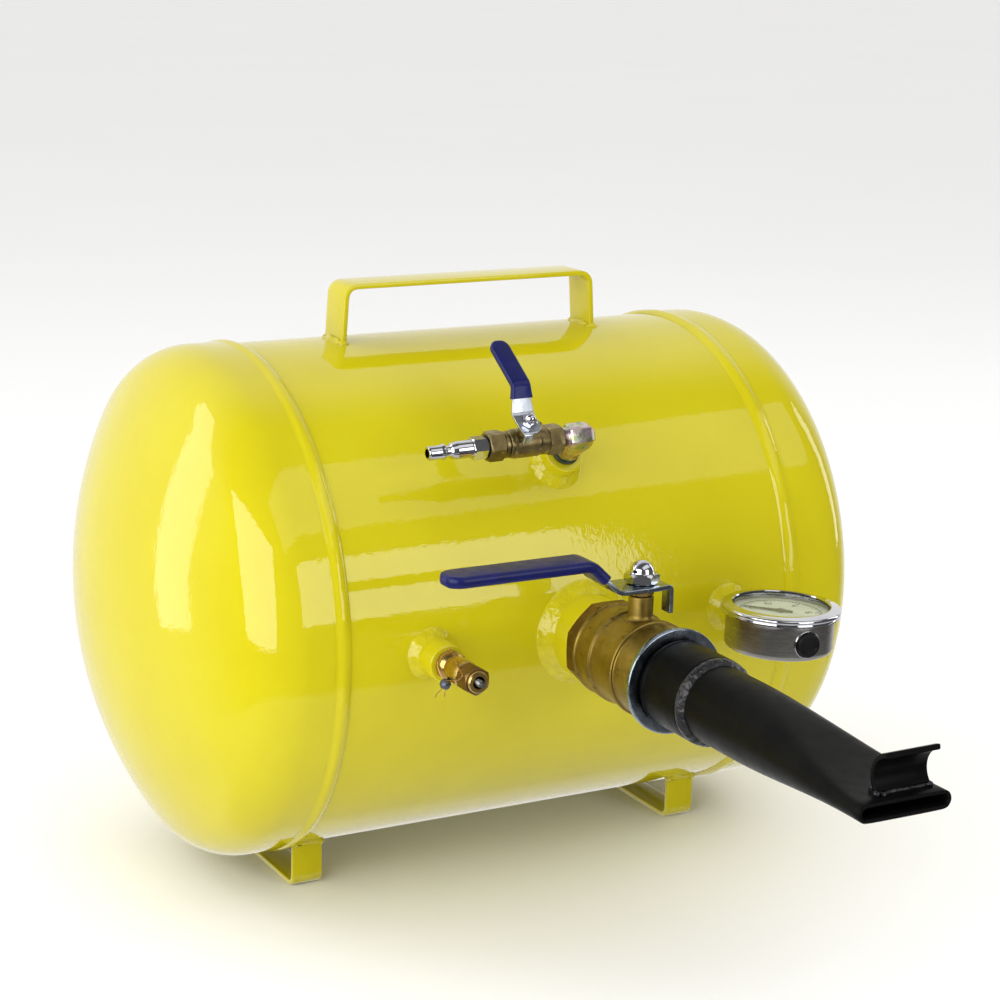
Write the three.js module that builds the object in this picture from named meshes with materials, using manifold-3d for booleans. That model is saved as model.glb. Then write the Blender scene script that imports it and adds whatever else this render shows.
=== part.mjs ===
// Bead seater blaster tank: a small horizontal air tank that fires its air through a wide
// ball valve and a flattened barrel, to throw a tyre's bead onto its rim.
//
// Millimetres, +Z up. +X runs along the tank, the barrel points along -Y.
// The origin is on the ground under the middle of the whole object's box.
// Inside the "tank" group the origin is the middle of the tank, on its axis, and every port
// has a group of its own whose +Z points straight out of the tank along the port.

import * as THREE from 'three';
import { mergeVertices } from 'three/addons/utils/BufferGeometryUtils.js';
import Module from 'manifold-3d';

const wasm = await Module();
wasm.setup();

// ---- driving dimensions -------------------------------------------------------------

const gap = 0.3;                 // left between neighbouring solids
const wall = 3;                  // tank plate

const shellRadius = 150;
const shellHalf = 152;           // half the length of the rolled shell
const seamWidth = 10.4;          // round weld between shell and head
const seamRise = 2.8;
const headRadius = 151.4;
const headFlange = 13.9;         // straight part of a head
const headKnuckle = 36.9;
const headDepth = 83.5;

const footX = 129.6;             // middle of each foot strap
const footWidth = 19;
const footHalf = 63.4;           // half the length of a foot, front to back
const groundBelowAxis = 163.8;
const strap = 3;                 // thickness of the foot and handle straps
const handleHalf = 83.5;
const handleWidth = 25;
const handleTop = 184.5;         // above the tank's axis
const handleBend = 8;
const handleSplay = 2.4;         // each leg leans outwards by this much at the tank

const mouthReach = 450;          // from the tank's axis to the barrel's mouth
const backReach = shellRadius + seamRise + gap;

const mainX = 4;                 // outlet valve and barrel
const safetyX = -93;
const gaugeX = 101.8;
const gaugeZ = 3;
const gaugeY = -203;             // middle of the gauge case
const gaugeClock = 2;            // degrees the gauge is turned on its stem
const inletX = 0.3;
const inletAngle = 38.2;         // degrees above the front of the tank
const inletElbow = 185;          // from the tank's axis to the elbow's corner
const inletStemAngle = 56;       // degrees the small valve's stem points above level
const inletClock = 1;            // degrees the elbow is turned on its port, far end down

// Bungs welded into the shell: outer radius, bore, inner and outer end, weld radius, sides
const bungs = {
  main: { radius: 24.5, bore: 15.5, from: 143, to: 172.7, weld: 29.5, sides: 24 },
  safety: { radius: 11, bore: 6.9, from: 143, to: 170, weld: 15.5, sides: 16 },
  gauge: { radius: 10.2, bore: 6.9, from: 143, to: 164, weld: 14.4, sides: 16 },
  inlet: { radius: 11.5, bore: 6.9, from: 143, to: 163, weld: 16.5, sides: 16 },
};

// Ball valves, measured along the flow from the valve group's origin
const mainValve = {
  start: 173, endSides: 8, hexEnd: 184.5, bodyEnd: 225, capEnd: 244, stem: 210,
  hexFlats: 50, bodyRadius: 26, ridgeRadius: 27.6, capRadius: 25.4, capHex: 0,
  thread: 21, bore: 15.5, ball: 21,
  bossRadius: 6.9, bossTop: 38.6, stemRadius: 4, plateLevel: 42.8, plateThick: 2.5,
  plateWidth: 23, gripWidth: 17.5, tabLength: 15, tabDrop: 15, leverRise: 16.5,
  leverRiseStart: 20, leverRiseEnd: 36, gripStart: 28, leverEnd: 121, sleeve: 1.2,
  nutFlats: 17, nutHeight: 6, nutDome: 6.9,
};
const inletValve = {
  start: 13.8, endSides: 6, hexEnd: 23.4, bodyEnd: 47.4, capEnd: 60.5, stem: 38.2,
  hexFlats: 15.4, bodyRadius: 7.9, ridgeRadius: 8.3, capRadius: 7.6, capHex: 15.4,
  thread: 6.4, bore: 3.8, ball: 6,
  bossRadius: 4.2, bossTop: 11.8, stemRadius: 2.2, plateLevel: 13.8, plateThick: 1.6,
  plateWidth: 13.6, gripWidth: 9.5, tabLength: 9, tabDrop: 5.4, leverRise: 12,
  leverRiseStart: 8, leverRiseEnd: 19, gripStart: 14, leverEnd: 52, sleeve: 0.8,
  nutFlats: 8, nutHeight: 3.4, nutDome: 3.2,
};

// Barrel: threaded collar, weld, and a pipe pressed flat towards its mouth
const ringFrom = 244.4;
const ringTo = 248;
const ringRadius = 29.5;
const collarTo = 285;
const collarRadius = 24.15;
const barrelRadius = 21.1;
const barrelWall = 2.2;
const pressFrom = 315;           // where the pressing starts
const heightTo = 445;            // where the barrel has its least height
const widthFrom = 312;           // where it starts to spread, all the way to the mouth
const mouthHalfWidth = 27.2;
const mouthHalfHeight = 5;
const mouthDrop = 0.7;           // the mouth is this much below the barrel's axis
const hookInner = 10.6;          // radius of the rim hook's hollow side
const hookBelow = 44;            // degrees that its curve reaches below and above level
const hookAbove = 79;
const hookWidth = 32;
const hookThick = 2.8;
const hookAcross = 3.8;          // how far the hook sits to the right of the barrel's middle
const hookTurn = 1;              // degrees the hook is turned on the barrel

const yellow = 0xe4d40a;
const brass = 0xb08d3a;
const zinc = 0xb9c0c6;

// ---- geometry helpers ------------------------------------------------------------------

// Sides given to round things: the tank, the larger fittings and the small ones
const large = 60;
const medium = 24;
const small = 16;

const degrees = THREE.MathUtils.degToRad;

// Six times the volume enclosed by a triangle list
function volumeOf(geometry) {
  const position = geometry.attributes.position;
  const index = geometry.index;
  const [a, b, c] = [new THREE.Vector3(), new THREE.Vector3(), new THREE.Vector3()];
  let total = 0;
  for (let i = 0; i < index.count; i += 3) {
    a.fromBufferAttribute(position, index.getX(i));
    b.fromBufferAttribute(position, index.getX(i + 1));
    c.fromBufferAttribute(position, index.getX(i + 2));
    total += a.dot(b.cross(c));
  }
  return total;
}

// One closed triangle mesh with shared vertices, no slivers of zero area, facing out
function closed(geometry) {
  geometry.deleteAttribute('normal');
  geometry.deleteAttribute('uv');
  const merged = mergeVertices(geometry, 1e-4);
  const kept = [];
  for (let i = 0; i < merged.index.count; i += 3) {
    const [a, b, c] = [0, 1, 2].map((k) => merged.index.getX(i + k));
    if (a !== b && b !== c && c !== a) kept.push(a, b, c);
  }
  merged.setIndex(kept);
  if (volumeOf(merged) < 0) merged.setIndex(kept.reverse());
  return merged;
}

function solid(geometry) {
  const mesh = closed(geometry);
  return new wasm.Manifold(new wasm.Mesh({
    numProp: 3,
    vertProperties: new Float32Array(mesh.attributes.position.array),
    triVerts: new Uint32Array(mesh.index.array),
  }));
}

function surface(manifold) {
  const mesh = manifold.getMesh();
  const geometry = new THREE.BufferGeometry();
  geometry.setAttribute('position', new THREE.BufferAttribute(mesh.vertProperties, 3));
  geometry.setIndex(new THREE.BufferAttribute(mesh.triVerts, 1));
  return geometry;
}

// base joined with each of the first list and cut by each of the second
function carve(base, joined, cut) {
  let result = solid(base);
  for (const geometry of joined) result = result.add(solid(geometry));
  for (const geometry of cut) result = result.subtract(solid(geometry));
  return surface(result);
}

// A profile of [radius, height] points turned about Z
function turned(profile, segments = small) {
  const points = profile.map(([radius, height]) => new THREE.Vector2(radius, height));
  return new THREE.LatheGeometry(points, segments).rotateX(Math.PI / 2);
}

// A ring or tube about Z whose profile closes on itself
function ringSolid(profile, segments = small) {
  return turned([...profile, profile[0]], segments);
}

function rod(radius, from, to, segments = small) {
  return turned([[0, from], [radius, from], [radius, to], [0, to]], segments);
}

function tube(inner, outer, from, to, segments = small) {
  return ringSolid([[inner, from], [outer, from], [outer, to], [inner, to]], segments);
}

function alongX(geometry) {
  return geometry.rotateY(Math.PI / 2);
}

function alongY(geometry) {
  return geometry.rotateX(-Math.PI / 2);
}

// A prism about Z with flat sides, its corners trimmed at both ends like a nut's
function prism(acrossFlats, from, to, sides = 6, trim = 0.08) {
  const corner = acrossFlats / 2 / Math.cos(Math.PI / sides);
  const sheet = new THREE.Shape();
  for (let i = 0; i < sides; i += 1) {
    const angle = (i + 0.5) / sides * 2 * Math.PI;
    const point = [corner * Math.cos(angle), corner * Math.sin(angle)];
    if (i === 0) sheet.moveTo(...point);
    else sheet.lineTo(...point);
  }
  const block = new THREE.ExtrudeGeometry(sheet, { depth: to - from, bevelEnabled: false });
  const face = acrossFlats / 2 * 0.97;
  const drop = acrossFlats * trim;
  const bounds = turned([[0, from], [face, from], [corner, from + drop], [corner, to - drop],
    [face, to], [0, to]], 24);
  return surface(solid(block.translate(0, 0, from)).intersect(solid(bounds)));
}

// A flat outline in X and Y given a thickness upwards from a level
function plate(outline, level, thick) {
  return new THREE.ExtrudeGeometry(outline, { depth: thick, bevelEnabled: false })
    .translate(0, 0, level);
}

function box(width, depth, height, x, y, z) {
  return new THREE.BoxGeometry(width, depth, height).translate(x, y, z);
}

// Evenly spaced points on an arc, from one angle to another in degrees
function arc(centre, radius, from, to, steps) {
  return Array.from({ length: steps + 1 }, (_, i) => {
    const angle = degrees(from + (to - from) * i / steps);
    return [centre[0] + radius * Math.cos(angle), centre[1] + radius * Math.sin(angle)];
  });
}

function outlineOf(points) {
  return new THREE.Shape(points.map(([x, y]) => new THREE.Vector2(x, y)));
}

function add(group, name, geometry, color, roughness, metalness) {
  const mesh = new THREE.Mesh(
    closed(geometry),
    new THREE.MeshStandardMaterial({ color, roughness, metalness }),
  );
  mesh.name = name;
  group.add(mesh);
}

// ---- tank ------------------------------------------------------------------------------

// The space that the tank takes, for trimming what is welded onto it
function tankSpace() {
  return alongX(rod(shellRadius + gap, -400, 400, large));
}

// Outline of a dished head from its open edge to its middle, as [radius, height] points
function headOutline(radius, knuckle, flange, depth, steps) {
  const dish = depth - flange;
  const side = radius - knuckle;
  const crown = (side ** 2 + dish ** 2 - knuckle ** 2) / (2 * (dish - knuckle));
  const crownAngle = THREE.MathUtils.radToDeg(Math.asin(side / (crown - knuckle)));
  return [
    [radius, 0],
    ...arc([side, flange], knuckle, 0, 90 - crownAngle, steps),
    ...arc([0, depth - crown], crown, 90 - crownAngle, 90, steps).slice(1),
  ];
}

function head() {
  const outer = headOutline(headRadius, headKnuckle, headFlange, headDepth, 4);
  const inner = headOutline(headRadius - wall, headKnuckle - wall, headFlange, headDepth - wall, 3);
  outer.at(-1)[0] = 0;
  inner.at(-1)[0] = 0;
  return turned([...inner.reverse(), ...outer], 40);
}

function seam() {
  const base = shellRadius + gap;
  const reach = (seamWidth ** 2 / 4 + seamRise ** 2) / (2 * seamRise);
  const half = THREE.MathUtils.radToDeg(Math.asin(seamWidth / 2 / reach));
  const crown = arc([0, base + seamRise - reach], reach, 90 - half, 90 + half, 3);
  return ringSolid(crown.map(([along, radius]) => [radius, along]), large);
}

function buildTank(tank) {
  const holes = [
    ['main', mainX, 0, 0],
    ['safety', safetyX, 0, 0],
    ['gauge', gaugeX, gaugeZ, 0],
    ['inlet', inletX, 0, inletAngle],
  ].map(([name, x, z, angle]) => rod(bungs[name].radius + gap, 100, 200,
    bungs[name].sides)
    .rotateX(Math.PI / 2 - degrees(angle)).translate(x, 0, z));
  const shell = alongX(tube(shellRadius - wall, shellRadius, -shellHalf, shellHalf, large));
  add(tank, 'tank_shell', carve(shell, [], holes), yellow, 0.28, 0);
  for (const [name, side] of [['left', -1], ['right', 1]]) {
    const edge = side * (shellHalf + gap);
    add(tank, `tank_head_${name}`, head().rotateY(side * Math.PI / 2).translate(edge, 0, 0),
      yellow, 0.25, 0);
    const middle = side * (shellHalf - seamWidth / 2);
    add(tank, `seam_weld_${name}`, alongX(seam()).translate(middle, 0, 0), yellow, 0.3, 0);
  }
}

// A flat strap bent into a U, in the plane of X and Y, open upwards
function strapOutline(half, bottom, top, bend, splay) {
  const inner = Math.max(bend - strap, 0.5);
  return outlineOf([
    [half + splay, top],
    ...arc([half - bend, bottom + bend], bend, 0, -90, 4),
    ...arc([bend - half, bottom + bend], bend, -90, -180, 4),
    [-half - splay, top],
    [-half - splay + strap, top],
    ...arc([bend - half, bottom + bend], inner, -180, -90, 4),
    ...arc([half - bend, bottom + bend], inner, -90, 0, 4),
    [half + splay - strap, top],
  ]);
}

function foot() {
  const outline = strapOutline(footHalf, -groundBelowAxis, -120, strap * 2, 0);
  const bent = plate(outline, -footWidth / 2, footWidth);
  bent.rotateX(Math.PI / 2).rotateZ(Math.PI / 2);
  return bent;
}

function handle() {
  const outline = strapOutline(handleHalf, -handleTop, -145, handleBend, handleSplay);
  const bent = plate(outline, -handleWidth / 2, handleWidth);
  return bent.rotateX(-Math.PI / 2);
}

function buildStraps(tank) {
  for (const [name, side] of [['left', -1], ['right', 1]]) {
    const strapGeometry = foot().translate(side * footX, 0, 0);
    add(tank, `foot_${name}`, carve(strapGeometry, [], [tankSpace()]), yellow, 0.3, 0);
  }
  add(tank, 'carry_handle', carve(handle(), [], [tankSpace()]), yellow, 0.3, 0);
}

// ---- ports -----------------------------------------------------------------------------

// A group at a port: its origin is on the tank's axis and its +Z points out along the port
function portGroup(tank, x, z, angle) {
  const group = new THREE.Group();
  group.position.set(x, 0, z);
  group.rotation.x = Math.PI / 2 - degrees(angle);
  tank.add(group);
  return group;
}

function addBung(port, name) {
  const { radius, bore, from, to, weld, sides } = bungs[name];
  const chamfer = 1;
  add(port, `${name}_bung`, ringSolid([[bore, from], [radius, from], [radius, to - chamfer],
    [radius - chamfer, to], [bore, to]], sides), yellow, 0.3, 0);
  const inner = radius + gap;
  const rise = (weld - radius) * 1.3;
  const foot = Math.sqrt(shellRadius ** 2 - weld ** 2) - 1;
  const top = shellRadius + rise;
  const bead = ringSolid([[inner, foot], [weld, foot], [weld, shellRadius],
    [(weld + inner) / 2 + 0.8, shellRadius + rise * 0.6], [inner, top]], sides);
  add(port, `${name}_bung_weld`, carve(bead, [], [tankSpace()]), yellow, 0.3, 0);
}

// ---- ball valves -----------------------------------------------------------------------

// The flow runs along +Z, the stem points along +Y and the lever along -X when closed
function ballValve(group, name, v, color) {
  const ballRadius = v.ball - gap;
  const cavity = v.ball + gap;
  const seatInner = v.bore + gap;
  const seatOuter = v.bore + (v.ball - v.bore) * 0.62;
  const ballAt = (radius) => Math.sqrt(v.ball ** 2 - radius ** 2);
  const seatBack = ballAt(seatInner) + gap + (seatOuter - seatInner) * 0.7;
  const pocketRadius = seatOuter + gap;
  const pocketFrom = ballAt(seatOuter) + 0.8;
  const upright = (geometry) => geometry.rotateX(-Math.PI / 2).translate(0, 0, v.stem);

  const body = carve(
    turned([[0, v.hexEnd - 1], [v.bodyRadius, v.hexEnd - 1], [v.bodyRadius, v.hexEnd + 3],
      [v.ridgeRadius, v.hexEnd + 4], [v.ridgeRadius, v.bodyEnd - 2], [v.bodyRadius, v.bodyEnd],
      [0, v.bodyEnd]], medium),
    [prism(v.hexFlats, v.start, v.hexEnd, v.endSides), upright(rod(v.bossRadius, 0, v.bossTop))],
    [
      rod(v.thread, v.start - 5, v.hexEnd, medium),
      rod(v.bore, v.start, v.bodyEnd + 5),
      rod(pocketRadius, v.stem - seatBack - gap, v.stem),
      rod(cavity, v.stem - pocketFrom, v.bodyEnd + 5, medium),
      upright(rod(v.stemRadius + gap, 0, v.bossTop + 5, 12)),
    ],
  );
  add(group, `${name}_body`, body, color, 0.35, 1);

  const capHex = v.capHex > 0 ? [prism(v.capHex, v.bodyEnd + gap, v.capEnd)] : [];
  const capFrom = v.stem + pocketFrom + gap;
  const cap = carve(
    turned([[0, capFrom], [cavity - gap, capFrom], [cavity - gap, v.bodyEnd + gap],
      [v.capRadius, v.bodyEnd + gap], [v.capRadius, v.capEnd], [0, v.capEnd]], medium),
    capHex,
    [rod(pocketRadius, v.stem, v.stem + seatBack + gap), rod(v.bore, v.stem, v.capEnd),
      rod(v.thread, v.bodyEnd + 2, v.capEnd + 5, medium)],
  );
  add(group, `${name}_end_cap`, cap, color, 0.35, 1);

  // Chromed ball, bored across the flow while the valve is closed, slotted for the stem
  const slot = box(v.ball * 3, v.ball * 0.5, v.stemRadius + 0.6, 0, v.ball, 0);
  const ball = carve(new THREE.SphereGeometry(ballRadius, small, 10), [],
    [alongX(rod(v.bore - 1, -v.ball * 2, v.ball * 2, 12)), slot]);
  add(group, `${name}_ball`, ball.translate(0, 0, v.stem), 0xd8dadc, 0.12, 1);

  for (const [side, turn] of [['inner', Math.PI], ['outer', 0]]) {
    const seat = ringSolid([
      [seatInner, ballAt(seatInner) + gap],
      [seatOuter, ballAt(seatOuter) + gap],
      [seatOuter, seatBack],
      [seatInner, seatBack],
    ]);
    add(group, `${name}_seat_${side}`, seat.rotateX(turn).translate(0, 0, v.stem),
      0xe9e7e0, 0.5, 0);
  }

  const nutFrom = v.plateLevel + v.plateThick;
  const neck = v.stemRadius * 0.7;
  const tongueFrom = v.ball * 0.8;
  const tongueHeight = v.ball * 0.2 + 1;
  const stem = carve(
    turned([[0, v.ball + 0.1], [v.stemRadius, v.ball + 0.1],
      [v.stemRadius, v.plateLevel - gap], [neck, v.plateLevel - gap],
      [neck, nutFrom + v.nutHeight * 0.7], [0, nutFrom + v.nutHeight * 0.7]], 16),
    [box(v.stemRadius * 1.6, v.stemRadius * 0.8, tongueHeight, 0, 0,
      tongueFrom + tongueHeight / 2)],
    [],
  );
  add(group, `${name}_stem`, upright(stem), brass, 0.35, 1);

  const packing = prism(v.bossRadius * 1.75, v.bossTop + gap, v.plateLevel - gap * 2, 6, 0.05);
  add(group, `${name}_packing_nut`,
    upright(carve(packing, [], [rod(v.stemRadius + gap, v.bossTop - 5, v.plateLevel + 5, 16)])),
    brass, 0.35, 1);

  addLever(group, name, v);

  const dome = arc([0, 0], 1, 0, 90, 4)
    .map(([x, y]) => [x * v.nutFlats * 0.42, nutFrom + v.nutHeight + gap + y * v.nutDome]);
  dome.at(-1)[0] = 0;
  const nut = carve(
    prism(v.nutFlats, nutFrom + gap, nutFrom + gap + v.nutHeight),
    [turned([[0, nutFrom + 1], [v.nutFlats * 0.42, nutFrom + 1], ...dome], 24)],
    [rod(neck + gap, nutFrom - 2, nutFrom + v.nutHeight * 0.7 + gap, 16)],
  );
  add(group, `${name}_lever_nut`, upright(nut), 0xdfe2e4, 0.1, 1);
}

// Outline of a bent strip: a line of points widened to each side, with mitred bends
function ribbon(path, half) {
  const points = path.map(([x, y]) => new THREE.Vector2(x, y));
  const sideways = (a, b) => {
    const along = new THREE.Vector2().subVectors(b, a).normalize();
    return new THREE.Vector2(-along.y, along.x);
  };
  const offset = points.map((point, i) => {
    const before = i > 0 ? sideways(points[i - 1], point) : sideways(point, points[1]);
    const after = i < points.length - 1 ? sideways(point, points[i + 1]) : before;
    const mitre = before.clone().add(after).normalize();
    return mitre.multiplyScalar(half / mitre.dot(before));
  });
  const left = points.map((point, i) => point.clone().add(offset[i]));
  const right = points.map((point, i) => point.clone().sub(offset[i]));
  return new THREE.Shape([...left, ...right.reverse()]);
}

// Pressed lever: a plate on the stem with a stop tab, a rise, and a long grip
function addLever(group, name, v) {
  const side = v.plateWidth / 2;
  const grip = v.gripWidth / 2;
  const half = v.plateThick / 2;
  const low = v.plateLevel + half;
  const high = low + v.leverRise;
  const slope = v.leverRise / (v.leverRiseEnd - v.leverRiseStart);
  const onRise = (x) => [-x, low + (x - v.leverRiseStart) * slope];
  const stand = (manifold) => surface(manifold).translate(0, 0, v.stem);
  const tall = (outline) => solid(plate(outline, -10, high + 40).rotateX(-Math.PI / 2));
  const wide = (outline) => solid(plate(outline, -side * 2, side * 4));
  // Seen from above, widened all round by a margin
  const planForm = (margin) => outlineOf([
    [v.tabLength + 1, -side * 0.85 - margin],
    [v.tabLength + 1, -side * 0.1 + margin],
    [v.tabLength * 0.6, side * 0.1 + margin],
    [v.plateWidth * 0.2, side + margin],
    [-v.leverRiseStart, side + margin],
    [-v.leverRiseEnd, grip + margin],
    [grip - v.leverEnd, grip + margin],
    ...arc([grip - v.leverEnd, 0], grip + margin, 110, 250, 6),
    [grip - v.leverEnd, -grip - margin],
    [-v.leverRiseEnd, -grip - margin],
    [-v.leverRiseStart, -side - margin],
    [v.plateWidth * 0.2, -side - margin],
  ]);
  const strip = [
    [v.tabLength - half, low - v.tabDrop],
    [v.tabLength - half, low],
    [-v.leverRiseStart, low],
    [-v.leverRiseEnd, high],
    [-v.leverEnd - 2, high],
  ];
  const hole = rod(v.stemRadius * 0.7 + gap, 0, high + 20, 16).rotateX(-Math.PI / 2);
  const lever = wide(ribbon(strip, half)).intersect(tall(planForm(0))).subtract(solid(hole));
  add(group, `${name}_lever`, stand(lever), zinc, 0.3, 1);

  // Dipped vinyl grip, closed at its end, over part of the rise and all the flat part
  const far = -v.leverEnd - v.sleeve * 2;
  const cover = ribbon([onRise(v.gripStart), [-v.leverRiseEnd, high], [far, high]],
    half + gap + v.sleeve);
  const room = ribbon([onRise(v.gripStart - 8), [-v.leverRiseEnd, high], [far * 2, high]],
    half + gap);
  const outer = wide(cover).intersect(tall(planForm(gap + v.sleeve)));
  const inner = wide(room).intersect(tall(planForm(gap)));
  add(group, `${name}_grip`, stand(outer.subtract(inner)), 0x1b2350, 0.35, 0);
}

// ---- outlet: valve, collar, barrel and hook ----------------------------------------------

// Points of the barrel's section: two half circles joined by straight sides
function barrelSection(halfWidth, halfHeight, steps) {
  const flat = halfWidth - halfHeight;
  return Array.from({ length: steps }, (_, i) => {
    const angle = 2 * Math.PI * i / steps;
    const shift = Math.tanh(6 * Math.cos(angle)) * flat;
    return [halfHeight * Math.cos(angle) + shift, halfHeight * Math.sin(angle)];
  });
}

function barrel() {
  const steps = 28;
  const stations = [collarTo + gap, pressFrom];
  const presses = 7;
  for (let i = 1; i <= presses; i += 1) {
    stations.push(pressFrom + (mouthReach - pressFrom) * i / presses);
  }
  const rings = [];
  const addRing = (z, inset) => {
    const low = THREE.MathUtils.smoothstep(z, pressFrom, heightTo);
    const spread = THREE.MathUtils.smoothstep(z, widthFrom, mouthReach + 20);
    const halfHeight = THREE.MathUtils.lerp(barrelRadius, mouthHalfHeight, low) - inset;
    const halfWidth = THREE.MathUtils.lerp(barrelRadius, mouthHalfWidth, spread) - inset;
    const drop = mouthDrop * low;
    rings.push(barrelSection(halfWidth, halfHeight, steps).map(([x, y]) => [x, y - drop, z]));
  };
  for (const z of stations) addRing(z, 0);
  for (const z of [...stations].reverse()) addRing(z, barrelWall);
  const index = [];
  for (let r = 0; r < rings.length; r += 1) {
    const next = (r + 1) % rings.length;
    for (let i = 0; i < steps; i += 1) {
      const j = (i + 1) % steps;
      const [a, b, c, d] = [r * steps + i, r * steps + j, next * steps + j, next * steps + i];
      index.push(a, b, c, a, c, d);
    }
  }
  const geometry = new THREE.BufferGeometry();
  geometry.setAttribute('position', new THREE.Float32BufferAttribute(rings.flat(2), 3));
  geometry.setIndex(index);
  return geometry;
}

function buildOutlet(port) {
  ballValve(port, 'outlet_valve', mainValve, brass);
  add(port, 'outlet_ring', ringSolid([[21.6, ringFrom], [ringRadius - 1, ringFrom],
    [ringRadius, ringFrom + 1], [ringRadius, ringTo - 0.8], [ringRadius - 0.8, ringTo],
    [21.6, ringTo]], 28), zinc, 0.3, 1);
  add(port, 'barrel_collar', ringSolid([
    [17, mainValve.bodyEnd + 4], [20.7, mainValve.bodyEnd + 4], [20.7, ringTo + gap],
    [collarRadius - 2.6, ringTo + gap], [collarRadius, ringTo + 3.5],
    [collarRadius, collarTo - 0.8], [collarRadius - 0.8, collarTo], [17, collarTo],
  ], medium), 0x1a1a1a, 0.45, 0.3);
  add(port, 'barrel', barrel(), 0x1a1a1a, 0.45, 0.3);
  const bead = collarTo + gap;
  add(port, 'barrel_weld', ringSolid([[barrelRadius + gap, bead], [collarRadius - 0.4, bead],
    [collarRadius - 1, bead + 3], [barrelRadius + gap, bead + 6]], medium), 0x1a1a1a, 0.6, 0.3);

  // Rim hook: a short piece of bent plate standing on the mouth, its lip curled forwards
  const outline = outlineOf([
    ...arc([0, 0], hookInner, 180 - hookAbove, 180 + hookBelow, 8),
    ...arc([0, 0], hookInner + hookThick, 180 + hookBelow, 180 - hookAbove, 8),
  ]);
  const hook = plate(outline, -hookWidth / 2, hookWidth);
  const lowest = (hookInner + hookThick) * Math.sin(degrees(hookBelow));
  const turnedHook = new THREE.Matrix4().makeBasis(
    new THREE.Vector3(0, 0, 1), new THREE.Vector3(0, 1, 0), new THREE.Vector3(-1, 0, 0));
  hook.applyMatrix4(turnedHook).rotateY(degrees(hookTurn));
  hook.translate(hookAcross, mouthHalfHeight - mouthDrop + gap + lowest,
    mouthReach);
  add(port, 'rim_hook', hook, 0x151515, 0.45, 0.3);
}

// ---- inlet: elbow, small valve and quick plug --------------------------------------------

function buildInlet(tank, port) {
  const from = bungs.inlet.to + gap;
  const seal = 2.6;
  const side = 14.5;
  add(port, 'inlet_seal', tube(6.9, 7.8, from, from + seal), 0x16281f, 0.5, 0);

  const elbow = new THREE.Group();
  elbow.position.z = inletElbow;
  elbow.rotation.z = degrees(inletClock);
  port.add(elbow);
  const down = inletElbow - from - seal - gap;
  const legDown = prism(side, -down, side / 2, 8, 0.02);
  const legSide = alongX(prism(14, -9.5, 9, 6, 0.16)).rotateX(degrees(22));
  const corner = box(side, side * 2, side * 2, side * 1.2, 0, 0).rotateY(-Math.PI / 4);
  const threadDown = rod(6.6, -down - 11, -down + 1);
  const threadSide = alongX(rod(6.1, -22.5, -9));
  add(elbow, 'inlet_elbow', carve(legDown, [legSide, threadDown, threadSide],
    [rod(3.6, -down - 20, 2, 12), alongX(rod(3.6, -40, 2, 12)), corner]), 0xa99a6a, 0.35, 1);

  const valve = new THREE.Group();
  const rise = degrees(inletAngle);
  const stemRise = degrees(inletStemAngle);
  const outwards = new THREE.Vector3(0, -Math.cos(rise), Math.sin(rise));
  const stem = new THREE.Vector3(0, -Math.cos(stemRise), Math.sin(stemRise))
    .applyAxisAngle(outwards, degrees(inletClock));
  const flow = new THREE.Vector3(-1, 0, 0).applyAxisAngle(outwards, degrees(inletClock));
  const across = new THREE.Vector3().crossVectors(stem, flow);
  valve.quaternion.setFromRotationMatrix(new THREE.Matrix4().makeBasis(across, stem, flow));
  valve.position.set(inletX, -inletElbow * Math.cos(rise), inletElbow * Math.sin(rise));
  tank.add(valve);
  ballValve(valve, 'inlet_valve', inletValve, 0x8f7b3c);

  const hexFrom = inletValve.capEnd + gap;
  const hexTo = hexFrom + 9;
  add(valve, 'inlet_quick_plug', carve(
    turned([
      [0, hexFrom - 9], [6.1, hexFrom - 9], [6.1, hexFrom + 1], [5.1, hexFrom + 1],
      [5.1, hexTo + 9.5], [4.2, hexTo + 12.5], [2.9, hexTo + 13.2], [2.9, hexTo + 15.6],
      [4.6, hexTo + 16.6], [4.6, hexTo + 17.6], [3.9, hexTo + 18.4], [3.9, hexTo + 26],
      [3.5, hexTo + 26.6], [0, hexTo + 26.6],
    ]),
    [prism(11.6, hexFrom, hexTo)],
    [rod(2.4, hexFrom - 15, hexTo + 40, 14)],
  ), 0xe2e4e6, 0.08, 1);
}

// ---- safety valve ------------------------------------------------------------------------

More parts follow.
